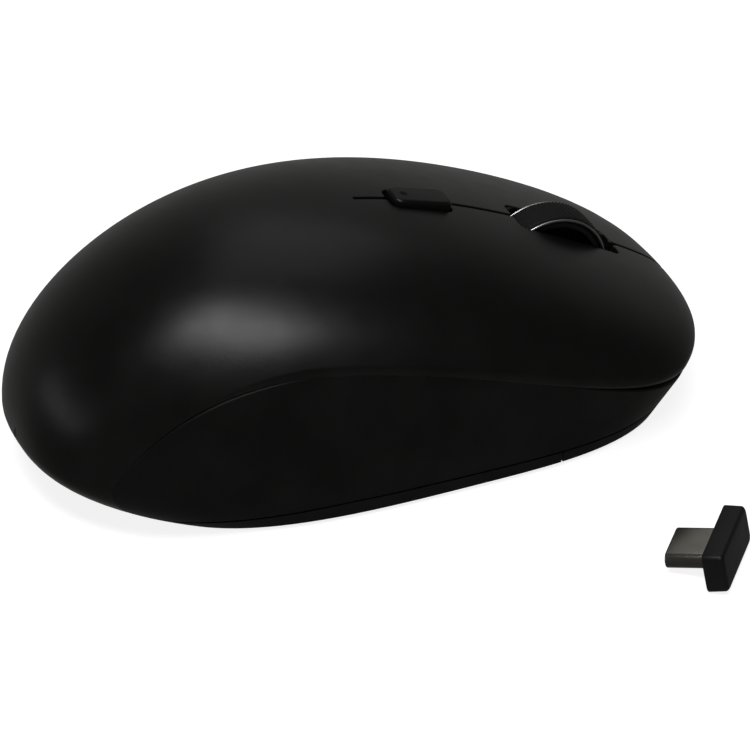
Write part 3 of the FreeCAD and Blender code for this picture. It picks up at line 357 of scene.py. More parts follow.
def rounded_outline(half_a, half_b, corner, steps=6):
    """A rectangle with round corners, anticlockwise, as pairs."""
    corner = min(corner, half_a - 1e-4, half_b - 1e-4)
    spots = []
    for quarter, (side_a, side_b) in enumerate(((1, 1), (-1, 1), (-1, -1), (1, -1))):
        for i in range(steps + 1):
            angle = math.pi / 2 * (quarter + i / steps)
            a = side_a * (half_a - corner) + corner * math.cos(angle)
            b = side_b * (half_b - corner) + corner * math.sin(angle)
            spots.append((a, b))
    return spots


def stacked(levels, corner_steps=6):
    """Rings of rounded rectangles (half_a, half_b, corner, level), lofted and capped."""
    points = []
    for half_a, half_b, corner, level in levels:
        points += [(a, b, level) for a, b in rounded_outline(half_a, half_b, corner, corner_steps)]
    columns = 4 * (corner_steps + 1)
    faces = grid_faces(len(levels), columns, wrap=True)
    faces.append(list(reversed(range(columns))))
    faces.append([(len(levels) - 1) * columns + j for j in range(columns)])
    return np.array(points), faces


def soft_block_levels(half_a, half_b, corner, low, high, low_edge, high_edge, steps=4):
    """Levels of a block whose lower and upper rims are rounded."""
    levels = []
    for i in range(steps + 1):
        angle = math.pi / 2 * i / steps
        inset = low_edge * (1 - math.sin(angle))
        level = low + low_edge * (1 - math.cos(angle))
        levels.append((half_a - inset, half_b - inset, corner - inset / 2, level))
    for i in range(steps + 1):
        angle = math.pi / 2 * i / steps
        inset = high_edge * (1 - math.cos(angle))
        level = high - high_edge * (1 - math.sin(angle))
        levels.append((half_a - inset, half_b - inset, corner - inset / 2, level))
    return levels


def sharp_rims(obj, degrees=35):
    """Keeps hard rims hard on a smooth-shaded piece."""
    mesh = obj.data
    mesh.set_sharp_from_angle(angle=math.radians(degrees))
    return obj


def turned_points(profile, centre, steps=96):
    """A closed profile of (x, radius) pairs turned about the wheel's axis."""
    points = []
    for x, radius in profile:
        for j in range(steps):
            turn = 2 * math.pi * j / steps
            points.append((x, centre[1] + radius * math.cos(turn), centre[2] + radius * math.sin(turn)))
    rows = len(profile)
    faces = grid_faces(rows, steps, wrap=True)
    for j in range(steps):
        k = (j + 1) % steps
        faces.append([(rows - 1) * steps + j, (rows - 1) * steps + k, k, j])
    return np.array(points), faces


def stands_for(obj, body, *nodes):
    """Rides on a body in place of CAD nodes."""
    if body:
        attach(obj, body)
    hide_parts(*nodes)
    return obj


SUBPARTS = frame["record"]["subparts"]

# ---------------------------------------------------------------- materials


class Finish:
    """A procedural material round one Principled shader."""

    def __init__(self, name, colour, roughness, metallic=0.0, specular=0.5):
        self.material = bpy.data.materials.new(name)
        self.material.use_nodes = True
        self.tree = self.material.node_tree
        self.shader = self.tree.nodes["Principled BSDF"]
        self.colour = colour
        self.shader.inputs["Base Color"].default_value = (*colour, 1)
        self.shader.inputs["Roughness"].default_value = roughness
        self.shader.inputs["Metallic"].default_value = metallic
        self.shader.inputs["Specular IOR Level"].default_value = specular
        self.place = self.node("ShaderNodeTexCoord").outputs["Object"]
        self.height = None

    def node(self, kind, **settings):
        item = self.tree.nodes.new(kind)
        for key, value in settings.items():
            if key in item.inputs:
                item.inputs[key].default_value = value
            else:
                setattr(item, key, value)
        return item

    def link(self, start, end):
        self.tree.links.new(start, end)

    def noise(self, size, detail=2.0, stretch=(1, 1, 1)):
        """Noise whose grains are about size millimetres across."""
        mapping = self.node("ShaderNodeMapping")
        mapping.inputs["Scale"].default_value = [factor / (size * MM) for factor in stretch]
        self.link(self.place, mapping.inputs["Vector"])
        grain = self.node("ShaderNodeTexNoise", Scale=1.0, Detail=detail)
        self.link(mapping.outputs["Vector"], grain.inputs["Vector"])
        return grain.outputs["Fac"]

    def cells(self, size, feature="F1"):
        mapping = self.node("ShaderNodeMapping")
        mapping.inputs["Scale"].default_value = [1 / (size * MM)] * 3
        self.link(self.place, mapping.inputs["Vector"])
        grain = self.node("ShaderNodeTexVoronoi", Scale=1.0)
        grain.feature = feature
        self.link(mapping.outputs["Vector"], grain.inputs["Vector"])
        return grain.outputs["Distance"]

    def vary_colour(self, mask, other, low=0.35, high=0.7):
        """Blends the colour with other where the mask runs from low to high."""
        ramp = self.node("ShaderNodeValToRGB")
        ramp.color_ramp.elements[0].position = low
        ramp.color_ramp.elements[1].position = high
        ramp.color_ramp.elements[0].color = (*self.colour, 1)
        ramp.color_ramp.elements[1].color = (*other, 1)
        self.link(mask, ramp.inputs["Fac"])
        self.link(ramp.outputs["Color"], self.shader.inputs["Base Color"])

    def vary_roughness(self, mask, low, high):
        spread = self.node("ShaderNodeMapRange")
        spread.inputs["To Min"].default_value = low
        spread.inputs["To Max"].default_value = high
        self.link(mask, spread.inputs["Value"])
        self.link(spread.outputs["Result"], self.shader.inputs["Roughness"])

    def bump(self, mask, height, strength=1.0):
        """Raises the surface by height millimetres where the mask is 1."""
        item = self.node("ShaderNodeBump", Strength=strength, Distance=height * MM)
        self.link(mask, item.inputs["Height"])
        if self.height is not None:
            self.link(self.height, item.inputs["Normal"])
        self.height = item.outputs["Normal"]
        self.link(self.height, self.shader.inputs["Normal"])

    def set(self, **values):
        for key, value in values.items():
            self.shader.inputs[key.replace("_", " ")].default_value = value
        return self


def moulded(name, colour, roughness, grain, lift, specular=0.4):
    """Moulded plastic with a fine spark-eroded grain and faint handling marks."""
    finish = Finish(name, colour, roughness, specular=specular)
    lighter = tuple(channel * 1.35 + 0.001 for channel in colour)
    finish.vary_colour(finish.noise(9, 4), lighter, 0.4, 0.75)
    finish.vary_roughness(finish.noise(3.5, 5), roughness - 0.05, roughness + 0.06)
    finish.bump(finish.noise(grain, 3), lift)
    finish.bump(finish.noise(grain * 4, 2), lift * 0.7)
    return finish.material


def metal(name, colour, roughness, stretch=(1, 1, 1), scratch=0.004):
    """Plated or brushed metal with drawn scratches and slight clouding."""
    finish = Finish(name, colour, roughness, metallic=1.0)
    finish.vary_colour(finish.noise(2.2, 3), tuple(channel * 0.82 for channel in colour), 0.45, 0.8)
    finish.vary_roughness(finish.noise(0.6, 4, stretch), roughness * 0.75, roughness * 1.35)
    finish.bump(finish.noise(0.25, 3, stretch), scratch)
    return finish.material


def board_material():
    """Green solder mask over copper tracks."""
    finish = Finish("board", (0.012, 0.09, 0.035), 0.35)
    tracks = finish.cells(1.7, "DISTANCE_TO_EDGE")
    edge = finish.node("ShaderNodeMapRange")
    edge.inputs["From Max"].default_value = 0.09
    finish.link(tracks, edge.inputs["Value"])
    finish.vary_colour(edge.outputs["Result"], (0.006, 0.055, 0.02), 0.2, 0.9)
    finish.vary_roughness(finish.noise(2, 3), 0.28, 0.45)
    finish.bump(edge.outputs["Result"], -0.03)
    return finish.material


def cell_material():
    """The printed sleeve of an AAA cell: a dark band and a copper band, with no lettering."""
    finish = Finish("cell_jacket", (0.02, 0.022, 0.028), 0.28, metallic=0.4)
    split = finish.node("ShaderNodeSeparateXYZ")
    finish.link(finish.place, split.inputs["Vector"])
    band = finish.node("ShaderNodeMapRange")
    low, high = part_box("battery_cell")
    start = low.y + (high.y - low.y) * 0.68
    band.inputs["From Min"].default_value = start
    band.inputs["From Max"].default_value = start + 0.2 * MM
    finish.link(split.outputs["Y"], band.inputs["Value"])
    finish.vary_colour(band.outputs["Result"], (0.5, 0.22, 0.08), 0.3, 0.7)
    finish.vary_roughness(finish.noise(4, 4), 0.22, 0.36)
    finish.bump(finish.noise(1.2, 2), 0.01)
    return finish.material


def clear_material(name, colour, roughness):
    """Clear moulded plastic for lenses."""
    finish = Finish(name, colour, roughness)
    finish.set(Transmission_Weight=1.0, IOR=1.49)
    finish.bump(finish.noise(1.5, 2), 0.003)
    finish.vary_roughness(finish.noise(2.5, 3), roughness, roughness + 0.08)
    return finish.material


BODY_BLACK = (0.0046, 0.0048, 0.0044)
SHELL = moulded("shell_plastic", BODY_BLACK, 0.31, 0.12, 0.007, specular=0.45)
PANEL = moulded("panel_plastic", (0.0036, 0.0038, 0.0035), 0.48, 0.14, 0.012, specular=0.28)
BASE = moulded("base_plastic", (0.0038, 0.0038, 0.0038), 0.55, 0.18, 0.018, specular=0.28)
BUTTON = moulded("button_plastic", (0.0044, 0.0046, 0.0042), 0.38, 0.10, 0.006, specular=0.42)
CAP = moulded("cap_plastic", (0.0060, 0.0060, 0.0062), 0.45, 0.15, 0.010, specular=0.40)
INNER = moulded("inner_plastic", (0.0035, 0.0035, 0.0035), 0.42, 0.2, 0.010, specular=0.3)
SWITCH = moulded("switch_plastic", (0.05, 0.05, 0.055), 0.42, 0.25, 0.012)
PLUNGER = moulded("plunger_plastic", (0.72, 0.72, 0.70), 0.38, 0.2, 0.008)
CHIP = moulded("chip_resin", (0.016, 0.016, 0.017), 0.5, 0.09, 0.012)
FOOT = moulded("foot_ptfe", (0.035, 0.035, 0.036), 0.34, 0.3, 0.008)
RUBBER = moulded("tyre_rubber", (0.0080, 0.0080, 0.0078), 0.60, 0.10, 0.010, specular=0.35)
CHROME = metal("ring_chrome", (0.86, 0.86, 0.87), 0.30, scratch=0.001)
STEEL = metal("steel", (0.56, 0.56, 0.55), 0.32, (1, 5, 1))
NICKEL = metal("plug_nickel", (0.62, 0.60, 0.54), 0.20, (4, 4, 0.6), 0.0016)
GOLD = metal("contact_gold", (0.83, 0.62, 0.28), 0.24)
BOARD = board_material()
CELL = cell_material()
LENS = clear_material("clear_lens", (0.92, 0.95, 0.96), 0.04)
LIGHT = moulded("light_window", (0.0012, 0.0012, 0.0013), 0.5, 0.3, 0.002, specular=0.15)

SLOT_FINISH = {
    "shell_black": SHELL,
    "panel_black": PANEL,
    "base_black": BASE,
    "button_black": BUTTON,
    "tyre_rubber": RUBBER,
    "wheel_plastic": INNER,
    "ring_chrome": CHROME,
    "steel": STEEL,
    "contact_gold": GOLD,
    "board_green": BOARD,
    "switch_grey": SWITCH,
    "plunger_white": PLUNGER,
    "chip_black": CHIP,
    "lens_clear": LENS,
    "light_lens": LIGHT,
    "foot_grey": FOOT,
    "cell_jacket": CELL,
    "cap_black": CAP,
}
for part in SUBPARTS:
    for material_slot in NODES[part["node"]].material_slots:
        material_slot.material = SLOT_FINISH[part["material_slot"]]

# ---------------------------------------------------------------- top shell and keys

BAND_STEPS = 300
REAR_STEPS = 96
DOME_ROWS = 84
SKIRT_ROWS = 10
GAP_HALF = 0.25
CUT_ROLL = 0.22
HEM_ROLL = 0.3
REAR_ROLL, FULL_ROLL = 0.2, 1.5
ROLL_FADE = (-50.0, -26.0)
ROW_CROWDING = 0.06
SLOT_CORNER, NOTCH_CORNER = 0.9, 1.1
NOTCH_HALF_WIDTH, NOTCH_HALF_LENGTH = 2.6, 5.05
TURN_GAP = 0.003
SLOT_HALF_WIDTH = 3.5
SLOT_ENDS = (17.2, 33.4)
BUTTON_SLOPE = math.radians(17.5)
button_low, button_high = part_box("dpi_button")
BUTTON_MIDDLE = (button_low.y + button_high.y) / 2 / MM


def crease_roll(y):
    """Radius of the rolled lower rim of the top shell: least behind, full from the middle on."""
    return REAR_ROLL + (FULL_ROLL - REAR_ROLL) * smooth(y, *ROLL_FADE)


def column_turns():
    """Turns of the mesh's columns, with one exactly at each end of the skirt."""
    band = np.linspace(REAR_TURN, math.pi - REAR_TURN, BAND_STEPS + 1)
    rear = np.linspace(math.pi - REAR_TURN, 2 * math.pi + REAR_TURN, REAR_STEPS + 1)
    return np.concatenate([band[:-1], rear[:-1]])


def dome_surface():
    """The open outer surface of the whole top shell with the skirt behind."""
    turns = column_turns()
    count = len(turns)
    in_band = np.arange(count) < BAND_STEPS
    in_band[0] = False
    radius, height = crease(turns)
    roll = crease_roll(POLE_Y + radius * np.sin(turns))
    reach = np.hypot(radius, height - EQUATOR)
    end = np.where(in_band, np.arctan2(height - EQUATOR, radius) + roll / reach, 0.0)
    points = []
    for row in range(1, DOME_ROWS + 1):
        share = row / DOME_ROWS
        share = share + ROW_CROWDING * math.sin(2 * math.pi * share)
        lift = math.pi / 2 + (end - math.pi / 2) * share
        low, high = np.zeros(count), np.full(count, WIDEST)
        for _ in range(HALVINGS):
            middle = (low + high) / 2
            reach_out = middle * np.cos(lift)
            x, y = reach_out * np.cos(turns), POLE_Y + reach_out * np.sin(turns)
            inside = dome_level(x, y, EQUATOR + middle * np.sin(lift)) < 1
            low, high = np.where(inside, middle, low), np.where(inside, high, middle)
        points.append(polar(turns, low * np.cos(lift), EQUATOR + low * np.sin(lift)))
    pole = np.array([[0.0, POLE_Y, float(crest(np.array([POLE_Y]))[1][0])]])
    skirt_columns = [i % count for i in range(BAND_STEPS, count + 1)]
    skirt_turns = turns[skirt_columns]
    skirt = []
    for row in range(1, SKIRT_ROWS + 1):
        z = EQUATOR + (PANEL_BOTTOM + HEM_ROLL - EQUATOR) * row / SKIRT_ROWS
        level = np.full(len(skirt_turns), z)
        skirt.append(polar(skirt_turns, full_radius(skirt_turns, level), level))
    vertices = np.concatenate([pole] + points + skirt)
    faces = [[0, 1 + j, 1 + (j + 1) % count] for j in range(count)]
    for face in grid_faces(DOME_ROWS, count, wrap=True):
        faces.append([1 + v for v in reversed(face)])
    first = 1 + count * DOME_ROWS
    last_row = first - count
    above = [last_row + column for column in skirt_columns]
    width = len(skirt_columns)
    for row in range(SKIRT_ROWS):
        below = [first + row * width + j for j in range(width)]
        for j in range(width - 1):
            faces.append([above[j], below[j], below[j + 1], above[j + 1]])
        above = below
    return vertices, faces


def box_distance(x, y, middle_y, half_x, half_y, corner):
    """Distance in plan to a rounded rectangle on the centre line."""
    across, along = np.abs(x) - half_x + corner, np.abs(y - middle_y) - half_y + corner
    outside = np.hypot(np.maximum(across, 0), np.maximum(along, 0))
    return outside + np.minimum(np.maximum(across, along), 0) - corner


def opening_distance(points):
    """Distance in plan to the split between the keys, the wheel's slot and the button's notch."""
    x, y = points[:, 0], points[:, 1]
    split = np.abs(x) - GAP_HALF
    middle, half = sum(SLOT_ENDS) / 2, (SLOT_ENDS[1] - SLOT_ENDS[0]) / 2
    slot = box_distance(x, y, middle, SLOT_HALF_WIDTH, half, SLOT_CORNER)
    notch_half = NOTCH_HALF_LENGTH * math.cos(BUTTON_SLOPE)
    notch = box_distance(x, y, BUTTON_MIDDLE, NOTCH_HALF_WIDTH, notch_half, NOTCH_CORNER)
    return np.minimum(np.minimum(split, slot), notch)


SURFACE_POINTS, SURFACE_FACES = dome_surface()


def surface_mesh():
    """A fresh open mesh of the top's outer surface."""
    mesh = bmesh.new()
    fresh = [mesh.verts.new(point) for point in SURFACE_POINTS]
    for face in SURFACE_FACES:
        mesh.faces.new([fresh[v] for v in face])
    mesh.normal_update()
    return mesh


def shell_normal(points):
    """Normal of the top shell, on the dome or on the skirt."""
    on_dome = points[:, 2] >= EQUATOR - 1e-6
    result = np.zeros_like(points)
    result[on_dome] = dome_normal(points[on_dome])
    if not on_dome.all():
        result[~on_dome] = wall_normal(full_radius, points[~on_dome])
    return result


def shell_edge(a, b, middle):
    """Kind and roll of an edge of a top piece: at the hinge, a cut, the hem or the rim."""
    if abs(a[1] - HINGE_Y) < 1e-3 and abs(b[1] - HINGE_Y) < 1e-3:
        return "flat", 0.0
    both = opening_distance(np.array([a, b]))
    if a[1] > HINGE_Y - 1e-3 and np.all(np.abs(both - CUT_ROLL) < 0.02):
        return "cut", CUT_ROLL
    if middle[2] < EQUATOR - 0.01 or (middle[1] < -50 and middle[2] < EQUATOR + 0.3):
        return "hem", 0.2
    return "rim", float(crease_roll(middle[1]))


def make_top_piece(name, node, body, fields):
    """One piece of the top shell, kept where every field is positive."""
    mesh = surface_mesh()
    for field in fields:
        clip(mesh, field)
    piece = closed_shell(name, mesh, shell_normal, shell_edge, SHELL_WALL, SHELL)
    mesh.free()
    return stands_for(piece, body, node)


make_top_piece("palm_shell", "palm_cover", "housing", [lambda p: HINGE_Y - p[:, 1]])


def key_side(points, side):
    """Positive on one key, clear of the split, the slot and the notch."""
    own = np.where(points[:, 0] * side > 0, 1.0, -1.0)
    return own * np.maximum(opening_distance(points), 0) - CUT_ROLL


for side, word in ((-1, "left"), (1, "right")):
    fields = [lambda p: p[:, 1] - HINGE_Y, lambda p, side=side: key_side(p, side)]
    key = make_top_piece("%s_key_shell" % word, "key_%s" % word, None, fields)
    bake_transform(key)

# ---------------------------------------------------------------- side band

BAND_ROWS, BAND_COLUMNS = 26, 361
BAND_ROLL, BAND_HEM = 0.35, 0.25
BAND_WALL = 1.6
REAR_GAP, FRONT_GAP = 0.3, 1.3


def band_surface():
    """The open outer surface of the side band, from one rear corner round the front to the other."""
    turns = np.linspace(REAR_TURN + TURN_GAP, math.pi - REAR_TURN - TURN_GAP, BAND_COLUMNS)
    radius, height = crease(turns)
    y = POLE_Y + radius * np.sin(turns)
    gap = REAR_GAP + (FRONT_GAP - REAR_GAP) * smooth(y, HINGE_Y, BASE_FRONT)
    top = height - gap - BAND_ROLL
    low = PANEL_BOTTOM + BAND_HEM
    points = []
    for row in range(BAND_ROWS + 1):
        z = low + (top - low) * row / BAND_ROWS
        points.append(polar(turns, band_radius(turns, z), z))
    return np.concatenate(points), grid_faces(BAND_ROWS + 1, len(turns))


points, faces = band_surface()
band_mesh = bmesh.new()
band_verts = [band_mesh.verts.new(point) for point in points]
for face in faces:
    band_mesh.faces.new([band_verts[v] for v in face])
band = closed_shell(
    "side_band_shell",
    band_mesh,
    lambda p: wall_normal(band_radius, p),
    lambda a, b, middle: ("rim", BAND_ROLL) if middle[2] > PANEL_BOTTOM + HEM_ROLL else ("hem", BAND_HEM),
    BAND_WALL,
    PANEL,
)
stands_for(band, "housing", "side_band")

# ---------------------------------------------------------------- wheel

tyre_low, tyre_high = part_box("wheel_tyre")
WHEEL = [(low + high) / 2 / MM for low, high in zip(tyre_low, tyre_high)]
TYRE_RADIUS = (tyre_high.z - tyre_low.z) / 2 / MM
TYRE_HALF = (tyre_high.x - tyre_low.x) / 2 / MM
KNURLS = 96
KNURL_DEPTH = 0.13
STEPS_PER_KNURL = 9
TREAD_COLUMNS = 46
SIDE_CLEARANCE = 0.02
TREAD_CROWN, SHOULDER_DROP = 0.12, 0.35
SHOULDER_START = 0.86
TYRE_BORE = 7.45


def zigzag(value):
    """A wave of straight runs between 0 and 1."""
    return 1 - np.abs(2 * (value - np.floor(value)) - 1)


def make_tyre():
    """The tyre with a diamond knurl cut in its tread."""
    around, across = KNURLS * STEPS_PER_KNURL, TREAD_COLUMNS
    turn = np.arange(around) * 2 * math.pi / around
    rows = []
    for i in range(across + 1):
        share = 2 * i / across - 1
        x = share * (TYRE_HALF - SIDE_CLEARANCE)
        edge = max(abs(share) - SHOULDER_START, 0) / (1 - SHOULDER_START)
        pitch = 2 * math.pi * TYRE_RADIUS / KNURLS
        u = turn * KNURLS / (2 * math.pi) + x / pitch
        v = turn * KNURLS / (2 * math.pi) - x / pitch
        lift = np.minimum(zigzag(u), zigzag(v)) * KNURL_DEPTH * (1 - edge)
        tread = TYRE_RADIUS - KNURL_DEPTH - TREAD_CROWN * share**2 - SHOULDER_DROP * edge**2
        radius = tread + lift
        rows.append((x, radius))
    for x in (TYRE_HALF - SIDE_CLEARANCE, SIDE_CLEARANCE - TYRE_HALF):
        rows.append((x, np.full(around, TYRE_BORE)))
    points = []
    for x, radius in rows:
        y, z = WHEEL[1] + radius * np.cos(turn), WHEEL[2] + radius * np.sin(turn)
        points.append(np.stack([np.full(around, x), y, z], -1))
    faces = grid_faces(len(rows), around, wrap=True)
    last = (len(rows) - 1) * around
    faces += [[last + j, last + (j + 1) % around, (j + 1) % around, j] for j in range(around)]
    tyre = mesh_object("knurled_tyre", np.concatenate(points), faces, RUBBER)
    return sharp_rims(stands_for(tyre, "wheel", "wheel_tyre"), 50)


RING_RADIUS = 8.66
RING_BEAD = (0.17, 0.22)
BEAD_STEPS = 20


def make_ring(side, node):
    """A chrome bead let into the wheel's flank."""
    centre_x = side * (TYRE_HALF + RING_BEAD[0])
    profile = []
    for i in range(BEAD_STEPS):
        angle = -side * 2 * math.pi * i / BEAD_STEPS
        x = centre_x + RING_BEAD[0] * math.cos(angle)
        profile.append((x, RING_RADIUS + RING_BEAD[1] * math.sin(angle)))
    points, faces = turned_points(profile, WHEEL, 180)
    ring = mesh_object("chrome_bead_%s" % ("left" if side < 0 else "right"), points, faces, CHROME)
    return stands_for(ring, "wheel", node)


HUB_BORE = 1.25
HUB_HALF, HUB_WAIST_HALF = 2.55, 2.3
HUB_RIM, HUB_WAIST = 8.46, 7.5
DISH_DEPTH, DISH_POWER, DISH_REACH = 1.45, 0.8, 1.04
DISH_STEPS = 12
BEAD_SEAT = 0.16


def make_hub():
    """The hub with its dished flanks."""
    dish = []
    for i in range(DISH_STEPS):
        share = i / DISH_STEPS
        radius = HUB_BORE + (RING_RADIUS - BEAD_SEAT - HUB_BORE) * share
        hollow = math.sin(math.pi * min(share * DISH_REACH, 1.0)) ** DISH_POWER
        dish.append((HUB_HALF - DISH_DEPTH * hollow, radius))
    rim = [(HUB_HALF, HUB_RIM), (HUB_WAIST_HALF, HUB_WAIST)]
    rim += [(-x, radius) for x, radius in reversed(rim)]
    left = [(-x, radius) for x, radius in reversed(dish)]
    profile = dish + rim + left
    points, faces = turned_points(profile, WHEEL, 144)
    hub = mesh_object("dished_hub", points, faces, INNER)
    return sharp_rims(stands_for(hub, "wheel", "wheel_hub"), 50)


make_tyre()
make_hub()
make_ring(-1, "wheel_ring_left")
make_ring(1, "wheel_ring_right")

# ---------------------------------------------------------------- resolution button and light

BUTTON_HALF = (2.35, 4.8)
BUTTON_PROUD = 1.0
BUTTON_Y = 2.0
BUTTON_SEAT = Vector((0, BUTTON_Y, float(crest(np.array([BUTTON_Y]))[1][0])))
BUTTON_FOOT = -2.0
BUTTON_CORNER = 1.3
BUTTON_EDGES = (0.1, 0.55)
LIGHT_Y = -2.8
LIGHT_RADIUS = 0.62
LIGHT_SINK, LIGHT_CROWN, LIGHT_DEPTH = 0.02, 0.06, 0.6


def on_button(points):
    """Turns points of the button's own level frame onto the crest."""
    turn = Matrix.Rotation(-BUTTON_SLOPE, 3, "X")
    return np.array([turn @ Vector(point) + BUTTON_SEAT for point in points])


def make_button():
    """The resolution button, a low block with a rounded top rim."""
    levels = soft_block_levels(*BUTTON_HALF, BUTTON_CORNER, BUTTON_FOOT, BUTTON_PROUD, *BUTTON_EDGES, 6)
    points, faces = stacked(levels, 8)
    button = mesh_object("resolution_button_cap", on_button(points), faces, BUTTON)
    return sharp_rims(stands_for(button, "resolution_button", "dpi_button"), 40)


def make_light():
    """The window of the status light, a shallow lens set in the button's rear end."""
    levels = []
    for i in range(7):
        angle = math.pi / 2 * i / 6
        radius = LIGHT_RADIUS * math.cos(angle) + 0.01
        level = BUTTON_PROUD - LIGHT_SINK + LIGHT_CROWN * math.sin(angle)
        levels.append((radius, radius, radius, level))
    levels.insert(0, (LIGHT_RADIUS, LIGHT_RADIUS, LIGHT_RADIUS, BUTTON_PROUD - LIGHT_DEPTH))
    points, faces = stacked(levels, 8)
    points = points + np.array([0, LIGHT_Y, 0])
    window = mesh_object("status_light_window", on_button(points), faces, LIGHT)
    return sharp_rims(stands_for(window, "resolution_button", "status_light_lens"), 50)


make_button()
make_light()

# ---------------------------------------------------------------- receiver

RECEIVER_TURN = math.radians(49.4)
RECEIVER_TILT = math.radians(11.2)
CAP_WIDTH, CAP_HEIGHT, CAP_DEPTH = 13.8, 6.3, 3.2
CAP_DRAFT = math.tan(math.radians(2))
PLUG_HALF = (4.125, 1.2)
PLUG_LENGTH = 6.5
CAP_CORNER = 0.9
CAP_EDGES = (0.25, 0.6)
PLUG_LIP, PLUG_WALL = 0.22, 0.3
PLUG_ROOT, PLUG_MOUTH = 0.6, -1.0
RECEIVER_ORIGIN = Vector((57.3, 22.9, CAP_HEIGHT / 2 * math.cos(RECEIVER_TILT)))
RECEIVER_MATRIX = Matrix.Rotation(RECEIVER_TURN, 3, "Z") @ Matrix.Rotation(-RECEIVER_TILT, 3, "Y")


def on_receiver(points):
    """Turns stacked rings (a, b, level) so that level runs along the plug's axis."""
    placed = []
    for a, b, level in points:
        placed.append(RECEIVER_MATRIX @ Vector((level, a, b)) + RECEIVER_ORIGIN)
    return np.array(placed)


def make_cap():
    """The receiver's cap: a drafted block with soft rims."""
    levels = []
    edge_in, edge_out = CAP_EDGES
    half_a, half_b = CAP_WIDTH / 2, CAP_HEIGHT / 2
    for i in range(5):
        angle = math.pi / 2 * i / 4
        inset = edge_in * (1 - math.sin(angle))
        level = edge_in * (1 - math.cos(angle))
        shrink = level * CAP_DRAFT + inset
        levels.append((half_a - shrink, half_b - shrink, CAP_CORNER, level))
    for i in range(7):
        angle = math.pi / 2 * i / 6
        level = CAP_DEPTH - edge_out * (1 - math.sin(angle))
        shrink = level * CAP_DRAFT + edge_out * (1 - math.cos(angle))
        levels.append((half_a - shrink, half_b - shrink, CAP_CORNER, level))
    points, faces = stacked(levels, 6)
    cap = mesh_object("receiver_shell", on_receiver(points), faces, CAP)
    return sharp_rims(stands_for(cap, "receiver", "receiver_cap"), 50)


def make_plug():
    """The plug's drawn metal shell: a stadium tube with a rounded mouth."""
    levels = []
    inner_a, inner_b = PLUG_HALF[0] - 2 * PLUG_WALL, PLUG_HALF[1] - PLUG_WALL
    levels.append((inner_a, inner_b, inner_b, PLUG_MOUTH))
    levels.append((inner_a, inner_b, inner_b, -PLUG_LENGTH + PLUG_LIP))
    for i in range(1, 9):
        angle = math.pi * i / 8
        share = (1 - math.cos(angle)) / 2
        half_a = inner_a + (PLUG_HALF[0] - inner_a) * share
        half_b = inner_b + (PLUG_HALF[1] - inner_b) * share
        levels.append((half_a, half_b, half_b, -PLUG_LENGTH + PLUG_LIP * (1 - math.sin(angle))))
    levels.append((PLUG_HALF[0], PLUG_HALF[1], PLUG_HALF[1], PLUG_ROOT))
    points, faces = stacked(levels, 10)
    plug = mesh_object("plug_shell", on_receiver(points), [f[::-1] for f in faces], NICKEL)
    return sharp_rims(stands_for(plug, "receiver", "receiver_plug_shell"), 50)


make_cap()
make_plug()

# ---------------------------------------------------------------- feet


def soft_foot(name, node, body):
    """A glide pad over the CAD foot, with its lower rim rounded."""
    low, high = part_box(node)
    low, high = low / MM, high / MM
    half = ((high.x - low.x) / 2, (high.y - low.y) / 2)
    levels = soft_block_levels(*half, min(half) - 0.05, 0.0, high.z, 0.3, 0.05, 5)
    points, faces = stacked(levels, 10)
    points = points + np.array([(low.x + high.x) / 2, (low.y + high.y) / 2, 0])
    pad = mesh_object(name, points, faces, FOOT)
    return sharp_rims(stands_for(pad, body, node), 50)


soft_foot("front_glide_pad", "glide_foot_front", "housing")
soft_foot("rear_glide_pad", "glide_foot_rear", "door")

# ---------------------------------------------------------------- stage, lights and camera


FLOOR_HALF = 3000


def make_floor():
    """The pale floor, which reflections pass by."""
    corners = [(a * FLOOR_HALF, b * FLOOR_HALF, 0) for a, b in ((-1, -1), (1, -1), (1, 1), (-1, 1))]
    floor = mesh_object("floor", corners, [[0, 1, 2, 3]], FLOOR)
    floor.visible_glossy = False
    return floor


floor_finish = Finish("floor", (0.80, 0.80, 0.80), 0.9, specular=0.1)
floor_finish.set(Emission_Color=(1, 1, 1, 1), Emission_Strength=0.86)
FLOOR = floor_finish.material
make_floor()


def soft_light(name, direction, distance, width, height, power, roll=0):
    """An area light that looks at the mouse from a direction, turned by roll degrees about it."""
    data = bpy.data.lights.new(name, "AREA")
    data.shape = "RECTANGLE"
    data.size, data.size_y = width, height
    data.energy = power
    lamp = bpy.data.objects.new(name, data)
    way = Vector(direction).normalized()
    lamp.location = way * distance
    lamp.rotation_mode = "QUATERNION"
    lamp.rotation_quaternion = way.to_track_quat("Z", "Y") @ Quaternion((0, 0, 1), math.radians(roll))
    bpy.context.scene.collection.objects.link(lamp)
    return lamp


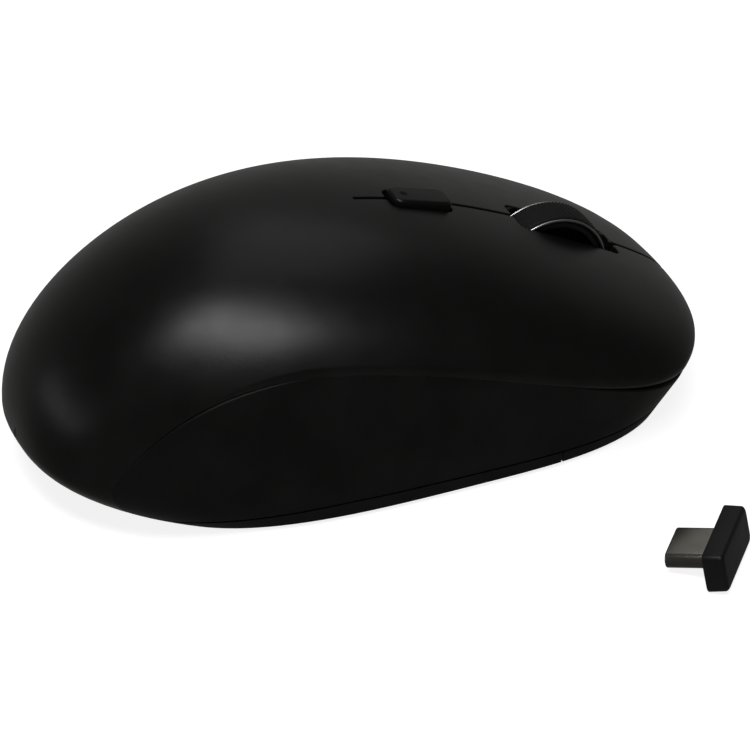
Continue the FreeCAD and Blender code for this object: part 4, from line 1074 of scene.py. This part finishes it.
soft_light("shoulder_light", (0.27, -0.22, 0.94), 0.9, 0.62, 0.27, 2.6, roll=-20)
soft_light("tail_light", (-0.30, -1.0, 0.16), 1.2, 0.9, 0.22, 0.5)
soft_light("top_light", (-0.45, 0.25, 0.85), 1.3, 0.8, 0.9, 1.0)


GLOW_WAY = (-0.86, 0.26, -0.25)
GLOW_EDGE = 0.2
GLOW_STRENGTH = 0.20
ROOM_STRENGTH = 0.03


def make_world():
    """Dim surroundings with a soft glow on the far side, low behind the mouse."""
    world = bpy.data.worlds.new("studio")
    world.use_nodes = True
    nodes, links = world.node_tree.nodes, world.node_tree.links
    toward = nodes.new("ShaderNodeVectorMath")
    toward.operation = "DOT_PRODUCT"
    toward.inputs[1].default_value = Vector(GLOW_WAY).normalized()
    links.new(nodes.new("ShaderNodeTexCoord").outputs["Generated"], toward.inputs[0])
    spread = nodes.new("ShaderNodeMapRange")
    spread.interpolation_type = "SMOOTHSTEP"
    spread.inputs["From Min"].default_value = GLOW_EDGE
    spread.inputs["To Min"].default_value = ROOM_STRENGTH
    spread.inputs["To Max"].default_value = GLOW_STRENGTH
    links.new(toward.outputs["Value"], spread.inputs["Value"])
    background = nodes["Background"]
    background.inputs["Color"].default_value = (1.0, 1.0, 0.98, 1)
    links.new(spread.outputs["Result"], background.inputs["Strength"])
    bpy.context.scene.world = world


make_world()
bpy.context.scene.view_settings.view_transform = "Standard"

AZIMUTH, ELEVATION = math.radians(66.556), math.radians(34.543)
CAMERA_DISTANCE = 0.700
camera_data = bpy.data.cameras.new("camera")
camera_data.sensor_width = 36
camera_data.lens = 225.1
camera_data.shift_x = -0.0409
camera_data.shift_y = 0.0223
camera = bpy.data.objects.new("camera", camera_data)
back = Vector(
    (
        math.sin(AZIMUTH) * math.cos(ELEVATION),
        -math.cos(AZIMUTH) * math.cos(ELEVATION),
        math.sin(ELEVATION),
    )
)
camera.location = back * CAMERA_DISTANCE
camera.rotation_mode = "QUATERNION"
camera.rotation_quaternion = (-back).to_track_quat("-Z", "Y")
bpy.context.scene.collection.objects.link(camera)
bpy.context.scene.camera = camera
